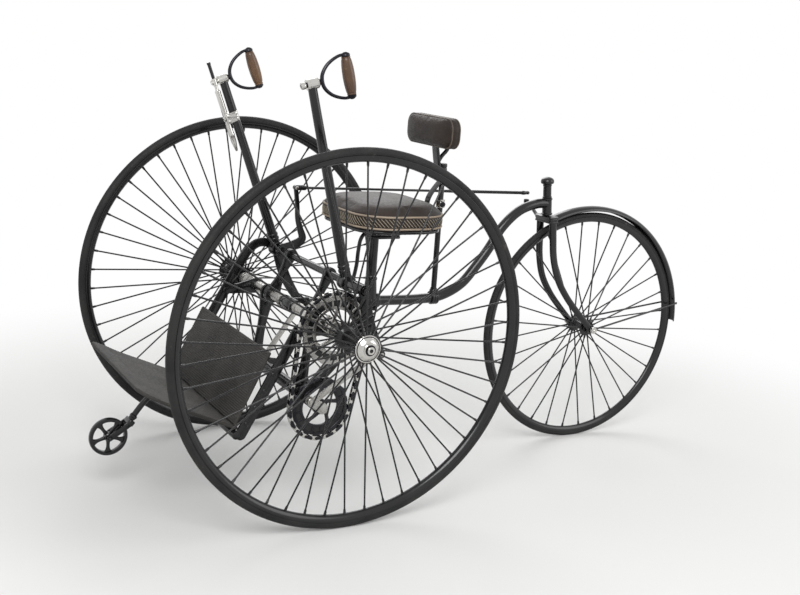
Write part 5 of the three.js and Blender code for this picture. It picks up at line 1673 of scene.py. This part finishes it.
def rounded_run(size: Spot, corner: float, count: int) -> tuple[Array, Array]:
    """Evenly spaced places on a round-cornered outline, and the outward direction at each.

    Args:
        size: Width and height of the outline.
        corner: Radius of its corners.
        count: Number of places.

    Returns:
        Places and directions as pairs of millimetres.
    """
    loop = round_rect(*size, corner, 40)
    closed = np.vstack([loop, loop[:1]])
    run = along_line(closed)
    s = np.linspace(0, run[-1], count, endpoint=False)
    p = np.stack([np.interp(s, run, closed[:, k]) for k in (0, 1)], 1)
    d = unit(np.roll(p, -1, 0) - np.roll(p, 1, 0))
    return p, np.stack([d[:, 1], -d[:, 0]], 1)


def corners(obj: bpy.types.Object) -> Array:
    """Reads an object's corners.

    Args:
        obj: The object.

    Returns:
        Its corners, one [x, y, z] a row.
    """
    p = np.empty(len(obj.data.vertices) * 3, np.float32)
    obj.data.vertices.foreach_get("co", p)
    return p.reshape(-1, 3).astype(float)


def evaluated(obj: bpy.types.Object) -> bpy.types.Object:
    """The object as its modifiers leave it at the present frame."""
    return obj.evaluated_get(bpy.context.evaluated_depsgraph_get())


def change(obj: bpy.types.Object, kind: str, **settings: object) -> None:
    """Applies one modifier to an object's mesh.

    Args:
        obj: The object.
        kind: The modifier's type.
        settings: Its settings by name.
    """
    modifier = obj.modifiers.new(kind.lower(), kind)
    for key, value in settings.items():
        setattr(modifier, key, value)
    mesh = bpy.data.meshes.new_from_object(evaluated(obj))
    obj.modifiers.clear()
    obj.data = mesh


def swell(obj: bpy.types.Object, frames: int = 20, pressure: float = 4.0) -> Array:
    """Runs cloth under pressure on a closed cover, without gravity.

    Args:
        obj: The cover.
        frames: Steps of the simulation.
        pressure: Pressure inside it.

    Returns:
        Where its corners end up.
    """
    cloth = obj.modifiers.new("cloth", "CLOTH")
    cloth.settings.use_pressure = True
    cloth.settings.uniform_pressure_force = pressure
    cloth.settings.effector_weights.gravity = 0
    cloth.settings.quality = 5
    cloth.point_cache.frame_start, cloth.point_cache.frame_end = 1, frames
    for step in range(1, frames + 1):
        bpy.context.scene.frame_set(step)
    swelled = corners(evaluated(obj))
    obj.modifiers.clear()
    bpy.context.scene.frame_set(1)
    return swelled


# ---- seat
@dataclass
class Seat:
    """The piped saddle cushion on its board, pillar, spring stay and rear strap."""

    x: float = -310.0  # middle of the seat
    long: float = 320.0
    wide: float = 400.0
    corner: float = 110.0  # radius of its corners
    low: float = 825.0  # underside of the cushion
    thick: float = 82.0
    board: float = 9.0  # thickness of the board under it
    pillar: float = -286.0  # the pillar's foot
    post: float = -532.0  # the back post, which carries the rear strap

    def build(self) -> None:
        """Makes the cushion and everything under it."""
        cover = Cover((self.long - 2, self.wide - 2), self.corner - 1, (9.0, 47.0), self.thick - 3, 2.2, 14.0,
                      at(self.x, 0, self.low), (X_AXIS, Y_AXIS))
        cover.build("saddle_cover", HIDE, "seat_cushion", 7.0, 0.8)
        cover.piping("saddle_piping", 3.2, PIPING)
        cover.stitches("saddle_stitches")
        self._base()
        self._pillar()
        self._stay()
        self._strap()

    def _base(self) -> None:
        """The thin board that the cushion is nailed to, with a row of round nail heads under its edge."""
        under = at(self.x, 0, self.low - self.board - 0.3)
        size, corner = (self.long - 14, self.wide - 14), self.corner - 7
        p, n = rounded_run(size, corner, 72)
        spots = under + np.pad(p - 8 * n, ((0, 0), (0, 1))) / 1000
        turn = np.broadcast_to(np.diag([1.0, -1.0, -1.0]), (len(spots), 3, 3))
        Piece("saddle_board", ENAMEL, "seat_base").add(
            slab(round_rect(*size, corner, 16), 0, self.board, 2.0, under, (X_AXIS, Y_AXIS))).make()
        nail = dome(np.zeros(3), Z_AXIS, 3.4, 1.8, 10)
        Piece("saddle_nails", PLATE).add(nail.copies(spots, turn)).make()

    def _pillar(self) -> None:
        """A turned pillar from a bolted clip on the backbone to the spring bar under the seat's plate."""
        x, tube_z, bolt_z = self.pillar, AXLE[1], 534
        foot, top = at(x, 0, tube_z), at(x - 5, 0, 801.7)
        profile = [(0, 0), (0, 24), (20, 23.4), (60, 19.6), (70, 18.6), (73, 20.4), (79, 20.4), (82, 17.6),
                   (88, 16), (214, 14.4), (219, 14.4), (222, 17), (230, 17), (233, 20), (241, 21), (241, 0)]
        Piece("seat_post", ENAMEL, "seat_pillar").add(
            lathe(profile, foot, top - foot, 40), banded(foot, X_AXIS, 25, 32, 4),
            [block(at(x + s * 17, 0, bolt_z), (14, 26, 14), edge=1.6) for s in (-1, 1)],
            [nut_pair(at(x + s * 17, 13, bolt_z), Y_AXIS, 5.4) for s in (-1, 1)],
            block(at(x - 30, 0, 807.4), (130, 60, 15.4), corner=8),
            [block(at(x - 37, 0, z), (110, 44, 9.6), edge=2.6, corner=9) for z in (774.8, 785.2, 795.6)],
            [dome(at(x - back, 0, 770), -Z_AXIS, 6, 3) for back in (82, 52)]).make()

    def _stay(self) -> None:
        """A bent round stay from its own clip, hooked back to a flange on the front of the spring bar."""
        p, tube_z, flange_z = self.pillar, AXLE[1], 785.4
        bends = ((80, 565), (66, 630), (56, 683), (53, 729), (47, 767), (36, 783.7), (21, flange_z))
        socket = [(12, 0), (12, 11), (30, 9), (33, 7), (33, 0)]
        Piece("seat_spring_stay", ENAMEL, "seat_stay").add(
            sweep(side_curve(0, [(p + x, z) for x, z in bends]), 0.0065),
            banded(at(p + 81, 0, tube_z), X_AXIS, 23, 14, 2),
            lathe(socket, at(p + 80, 0, tube_z), Z_AXIS, 28),
            block(at(p + 21.3, 0, flange_z), (34, 22, 6), (Y_AXIS, Z_AXIS), 1.2, 6),
            [dome(at(p + 24, y, flange_z), X_AXIS, 3.6, 2.2) for y in (-12, 12)]).make()

    def _strap(self) -> None:
        """A flat iron from a sleeve on the back post down behind the cushion and under its board."""
        post, rear = self.post, self.x - self.long / 2
        bends = ((post + 6, 964), (post + 22, 945), (rear - 18, 914), (rear - 10.6, 893), (rear - 10.5, 850),
                 (rear - 10.2, 824), (rear - 2, 812.4), (rear + 20, 811.5), (rear + 59, 811.5))
        Piece("seat_back_iron", ENAMEL, "seat_strap").add(
            strap(side_curve(0, bends, 12), 14, 3.3), banded(at(post, 0, 962.5), Z_AXIS, 14.5, 12.5, 2),
            [dome(at(rear + x, 0, 808.4), -Z_AXIS, 4.4, 2.4) for x in (22, 46)]).make()


@dataclass
class BackRest:
    """The post with its thumbscrew clamp, the branched bracket and the small piped pad."""

    x: float = -532.0  # the post's place
    r: float = 9.5  # its radius
    top: float = 1012.0  # its top
    clamp: float = 886.0  # height of the thumbscrew's collar
    waves: int = 12  # waves round the thumbscrew's rim
    pad: Spot = (-480.0, 1131.0)  # middle of the pad as [x, z]
    pad_size: Place = (290.0, 94.0, 50.0)  # its width, height and depth

    def build(self) -> None:
        """Makes the post, the clamp, the bracket and the pad."""
        self._post()
        self._clamp()
        self._bracket()
        w, h, d = self.pad_size
        cover = Cover((w + 2, h), 35.0, (8.0, 36.0), d + 3, 3.0, 10.0,
                      at(self.pad[0] - d / 2, 0, self.pad[1]), (Y_AXIS, Z_AXIS))
        cover.build("back_pad_cover", HIDE, "back_pad", 5.0, 0.8)
        cover.piping("back_pad_piping", 2.4, WELT)

    def _post(self) -> None:
        """A plain round post in a banded clip."""
        foot, r = at(self.x, 0, AXLE[1]), self.r
        socket = [(14, 0), (14, 15), (26, 14), (30, 11.6), (33, 11.6), (35, r), (35, 0)]
        Piece("back_rest_post", ENAMEL, "back_post").add(
            tube(foot, at(self.x, 0, self.top), r, 36), banded(foot, X_AXIS, 23.5, 13, 3),
            lathe(socket, foot, Z_AXIS, 36)).make()

    def _clamp(self) -> None:
        """A plated collar with a boss and a thumbscrew whose rim is a ring of small waves."""
        spot, start = at(self.x, 0, self.clamp), at(self.x + 1, 8, self.clamp)
        d = unit(np.array([5.0, 16.0, 0.0]))
        e1, e2 = side_frame(d, Z_AXIS)
        t = round_turn(8 * self.waves)
        r = 9.2 + 0.9 * np.cos(self.waves * t)
        rim = r[:, None] * (np.cos(t)[:, None] * e1 + np.sin(t)[:, None] * e2)
        layers = ((15.5, 0.2), (15.5, 0.86), (16.5, 1), (22.5, 1), (23.5, 0.86), (23.5, 0.2))
        screw = skin(np.stack([start + (high * d + share * rim) / 1000 for high, share in layers]))
        collar = mirrored([(9, 15), (10, 16), (12.5, 16), (14, 14.6), (14, 9.7)])
        boss = [(0, 0), (0, 7.4), (8, 7), (9, 4.4), (16, 4.4), (16, 0)]
        Piece("post_thumbscrew", BLUED, "post_clamp").add(screw).make()
        Piece("post_collar", PLATE, "post_clamp").add(
            lathe(collar, spot, Z_AXIS, 44, ring=True), lathe(boss, start, d, 28)).make()

    def _bracket(self) -> None:
        """A sleeve with a flat front branch to the pad's foot and a round rear one to the plate behind it."""
        x, z, pad_z = self.x, self.top, self.pad[1]
        bends = ((3, -27), (14, -18), (23, 5), (32, 48), (36, 72))
        front = side_curve(0, [(x + ahead, z + up) for ahead, up in bends])
        rear = side_curve(0, ((x + 23, z + 12), (-523, z + 34), (-543, 1070), (-545, 1098), (-514, 1127)))
        Piece("pad_fork", ENAMEL, "pad_bracket").add(
            banded(at(x, 0, z - 11.5), Z_AXIS, 14, 21.5, 3),
            strap(front, np.linspace(20, 18, len(front)), 5.2), sweep(rear, 0.007),
            block(at(-509.8, 0, pad_z), (150, 60, 8.8), (Y_AXIS, Z_AXIS), corner=12),
            [dome(at(-514, y, pad_z + h), -X_AXIS, 4.6, 2.6) for y in (-60, 60) for h in (-17, 17)]).make()


# ---- steering
@dataclass
class Steering:
    """The trailing wheel's column, fork, guard, stays and axle, with the rod and lever that turn it."""

    head: Spot = (-975.0, 890.0)  # a point of the steering axis as [x, z]
    crown: float = -61.0  # the crown's place on the axis
    blade_y: Spot = (38.0, 60.0)  # middle plane of a blade at the crown and at the axle
    rear: Spot = (-1180.0, 425.0)  # the trailing wheel's axle as [x, z]
    arm: Spot = (-980.3, 829.2)  # where the arm leaves the crown, as [x, z]
    guard_r: float = 446.0  # inside of the mudguard
    guard_half: float = 22.0  # half its width
    guard_ends: Spot = (64.5, 180.5)  # the angles in degrees between which it runs
    stay_angle: float = 171.0  # the angle at which the stays meet it
    stay_y: float = 72.8  # middle plane of a stay's eye on the axle
    pin: Place = (-999.0, -160.0, 898.0)  # rear end of the rod
    drop: float = 30.0  # from there down to the arm's eye
    eye: Place = (-100.0, -230.0, 905.0)  # front end of the rod

    def on_axis(self, s: float) -> Array:
        """A place on the steering axis, in metres."""
        return on(self.head, 0) + HEAD_AXIS * s / 1000

    def build(self) -> None:
        """Makes each piece of the steering."""
        self._column()
        self._fork()
        self._arm()
        self._guard()
        self._axle()
        self._rod()
        self._lever()

    def _column(self) -> None:
        """A column with a ringed sleeve and a mushroom cap."""
        profile = [(-57, 0), (-57, 10), (14.6, 10), (14.6, 15), (15.6, 16.5), (19, 16.5), (20.4, 14.8),
                   (56, 14.6), (58, 16), (62, 16), (63, 14.8), (64.5, 15.4), (65.5, 20.5), (67.5, 23),
                   (72, 24), (78, 23.2), (83, 20), (86.4, 14.5), (88.4, 8), (89, 3), (89, 0)]
        Piece("steering_column_turned", ENAMEL, "steering_column", "steering").add(
            lathe(profile, self.on_axis(0), HEAD_AXIS)).make()

    def _fork(self) -> None:
        """Two oval blades that sweep back and out along a table of shares, under a three-layered crown."""
        top, rest, (near, far) = self.on_axis(self.crown), on(self.rear, 0), self.blade_y
        # Each row is how far back, how far down and how far out a blade has come, as shares of its whole way.
        shares = [(0, 0, 0), (.03, .158, .1), (.075, .344, .27), (.2, .537, .55), (.42, .703, .77),
                  (.7, .854, .95), (1, 1, 1)]
        back, down, out = np.transpose(shares)
        piece = Piece("trailing_fork", ENAMEL, "rear_fork", "steering")
        for s in (1, -1):
            points = top + np.stack([back, 0 * back, down], 1) * (rest - top)
            points[:, 1] = s * (near + (far - near) * out) / 1000
            line = spline(points, 16)
            u = np.linspace(0, 1, len(line))
            piece.add(strap(line, 10.4 - 2.4 * u, 14.4 - 3.2 * u, power=2.0),
                      drum(on(self.rear, s * far), Y_AXIS, 8, 15, (1.5, 1.6), 36))
        turn = (np.cross(Y_AXIS, HEAD_AXIS), Y_AXIS)
        for high, size in ((-8, (40, 100, 6)), (0, (37.2, 97.2, 12)), (8, (40, 100, 6))):
            piece.add(block(self.on_axis(self.crown + high), size, turn, 1.6, 10))
        piece.make()

    def _arm(self) -> None:
        """A round arm from the crown's right side up to the eye under the rod."""
        (a, b), (x, y, z) = self.arm, self.pin
        z -= self.drop
        bends = [(a, -46, b), (a - 2, -64, b + 3), (x + 2, y + 26, z - 8), (x, y, z)]
        line = spline(at(*np.transpose(bends)), 16)
        eye = [(-7, 0), (-7, 8.6), (-5.6, 10), (5.6, 10), (7, 8.6), (7, 4.4), (5.6, 3.6), (5.6, 0)]
        Piece("steering_arm_bar", ENAMEL, "steering_arm", "steering").add(
            sweep(line, 0.007 - 0.0012 * np.linspace(0, 1, len(line)), 24, Z_AXIS),
            lathe(eye, at(x, y, z), Z_AXIS, 32), banded(at(a, -54, b), Y_AXIS, 10.4, 4, 1, 32)).make()

    def _round_wheel(self, r: Array | float, t: Array | float, y: Array | float) -> Array:
        """Places at the radii r, the angles t and the planes y round the trailing wheel's axle, in metres."""
        x, z = self.rear
        return at(x + r * np.cos(t), y, z + r * np.sin(t))

    def _guard(self) -> None:
        """The mudguard and its stays. Across it the radius falls by 7 times the square and 7 times the sixth
        power of the share from its middle, and the sheet thickens by a bell curve to a rolled bead at each
        edge."""
        v = np.linspace(-1, 1, 25)
        half = 1.2 + 1.15 * np.exp(-(((np.abs(v) - 0.96) / 0.05) ** 2))
        middle = self.guard_r + 1.3 - 7 * v**2 - 7 * v**6
        radius = np.concatenate([middle + half, (middle - half)[::-1]])
        across = self.guard_half * np.concatenate([v, v[::-1]])
        t = np.radians(np.linspace(*self.guard_ends, 160))[:, None]
        Piece("trailing_mudguard", ENAMEL, "rear_mudguard", "steering", 40).add(
            skin(self._round_wheel(radius, t, across))).make()
        for name, s in (("left", 1), ("right", -1)):
            far = self._round_wheel(self.guard_r - 4, math.radians(self.stay_angle),
                                    s * (self.guard_half + 2))
            near = on(self.rear, s * self.stay_y)
            Piece(f"{name}_stay_rod", ENAMEL, f"{name}_guard_stay", "steering").add(
                sweep(between(near, far, 30), 0.0034, 14, Z_AXIS), drum(near, Y_AXIS, 2, 12, (1, 1)),
                dome(far - s * 0.0008 * Y_AXIS, Y_AXIS * s, 5.2, 3.0)).make()

    def _axle(self) -> None:
        """The trailing wheel's axle with a ringed round nut at each end."""
        half = [(60, 7), (74.9, 7), (75.5, 10.4), (76.5, 12), (83, 12), (85, 10.6), (85, 8.4), (84, 7.6),
                (84, 6.2), (86.4, 5.4), (88, 3.6), (88, 0)]
        Piece("trailing_axle", PLATE, "rear_axle", "steering", 26).add(
            lathe(mirrored(half), on(self.rear, 0), Y_AXIS, 40)).make()

    def _rod(self) -> None:
        """The long thin rod with a pinned fork at its front and a round knob at its rear."""
        ahead, behind, (x, y, z) = at(*self.eye), at(*self.pin), self.eye
        d = unit(behind - ahead)
        tip = (x + 29 * d[0], z + 29 * d[2])
        cheeks = [side_slab(link_outline((x, z), tip, 7.5, 7.5), y + off - 2, y + off + 2)
                  for off in (-8.6, 8.6)]
        long = float(np.linalg.norm(behind - ahead)) * 1000
        bar = [(25, 0), (25, 7.5), (31, 7.3), (37, 6), (40, 4.5), (500, 4.5), (600, 5.8), (long - 26, 5.8),
               (long - 22, 7.2), (long - 16, 7.6), (long - 10, 7), (long, 5), (long, 0)]
        ball = np.linspace(-math.pi / 2, math.pi / 2, 15)[4:]
        knob = np.vstack([[(-5, 0), (-5, 6.4)], np.stack([1 + 6 * np.sin(ball), 9 * np.cos(ball) ** 0.7], 1)])
        pin = [(10.7, 4), (11, 6.4), (12.6, 6), (13, 3.6), (13, 0)]
        Piece("steering_rod_bar", ENAMEL, "steering_rod", "steering_link").add(
            lathe(bar, ahead, d, 24), cheeks, lathe(knob, behind, Z_AXIS, 36)).make()
        Piece("steering_rod_pin", PLATE, "steering_rod", "steering_link").add(
            lathe(mirrored(pin), ahead, Y_AXIS, 28)).make()

    def _lever(self) -> None:
        """The cranked flat lever on the lever shaft, which tapers towards a bored eye."""
        x, y, z = self.eye
        line = side_curve(y, (PIVOT, (-100, 706), (-133, 729), (-124, 764), (-113, 800), (-108, 850), (x, z)))
        u = np.linspace(0, 1, len(line))
        boss = [(-5, 0), (-5, 18), (-3.5, 20), (5, 20), (7, 18), (14, 18), (16, 16), (16, 0)]
        Piece("front_lever_blade", ENAMEL, "front_steering_lever", "steering_lever").add(
            strap(line, 4.8, 16 * (1 - u) ** 2.2 + 7.2, power=6.0),
            drum(at(x, y, z), Y_AXIS, 5, 8, (1, 1.4), 28), lathe(boss, on(PIVOT, y), Y_AXIS, 40)).make()


def main() -> None:
    """Builds the studio and every sub-assembly."""
    logging.basicConfig(level=logging.INFO, format="%(name)s %(message)s")
    for kind in (Studio, MainFrame, Wheels, ChainDrive, HandLevers, Footrest, Seat, BackRest, Steering):
        LOG.info("building %s", kind.__name__)
        kind().build()
    bpy.context.view_layer.update()


if __name__ == "__main__":
    main()
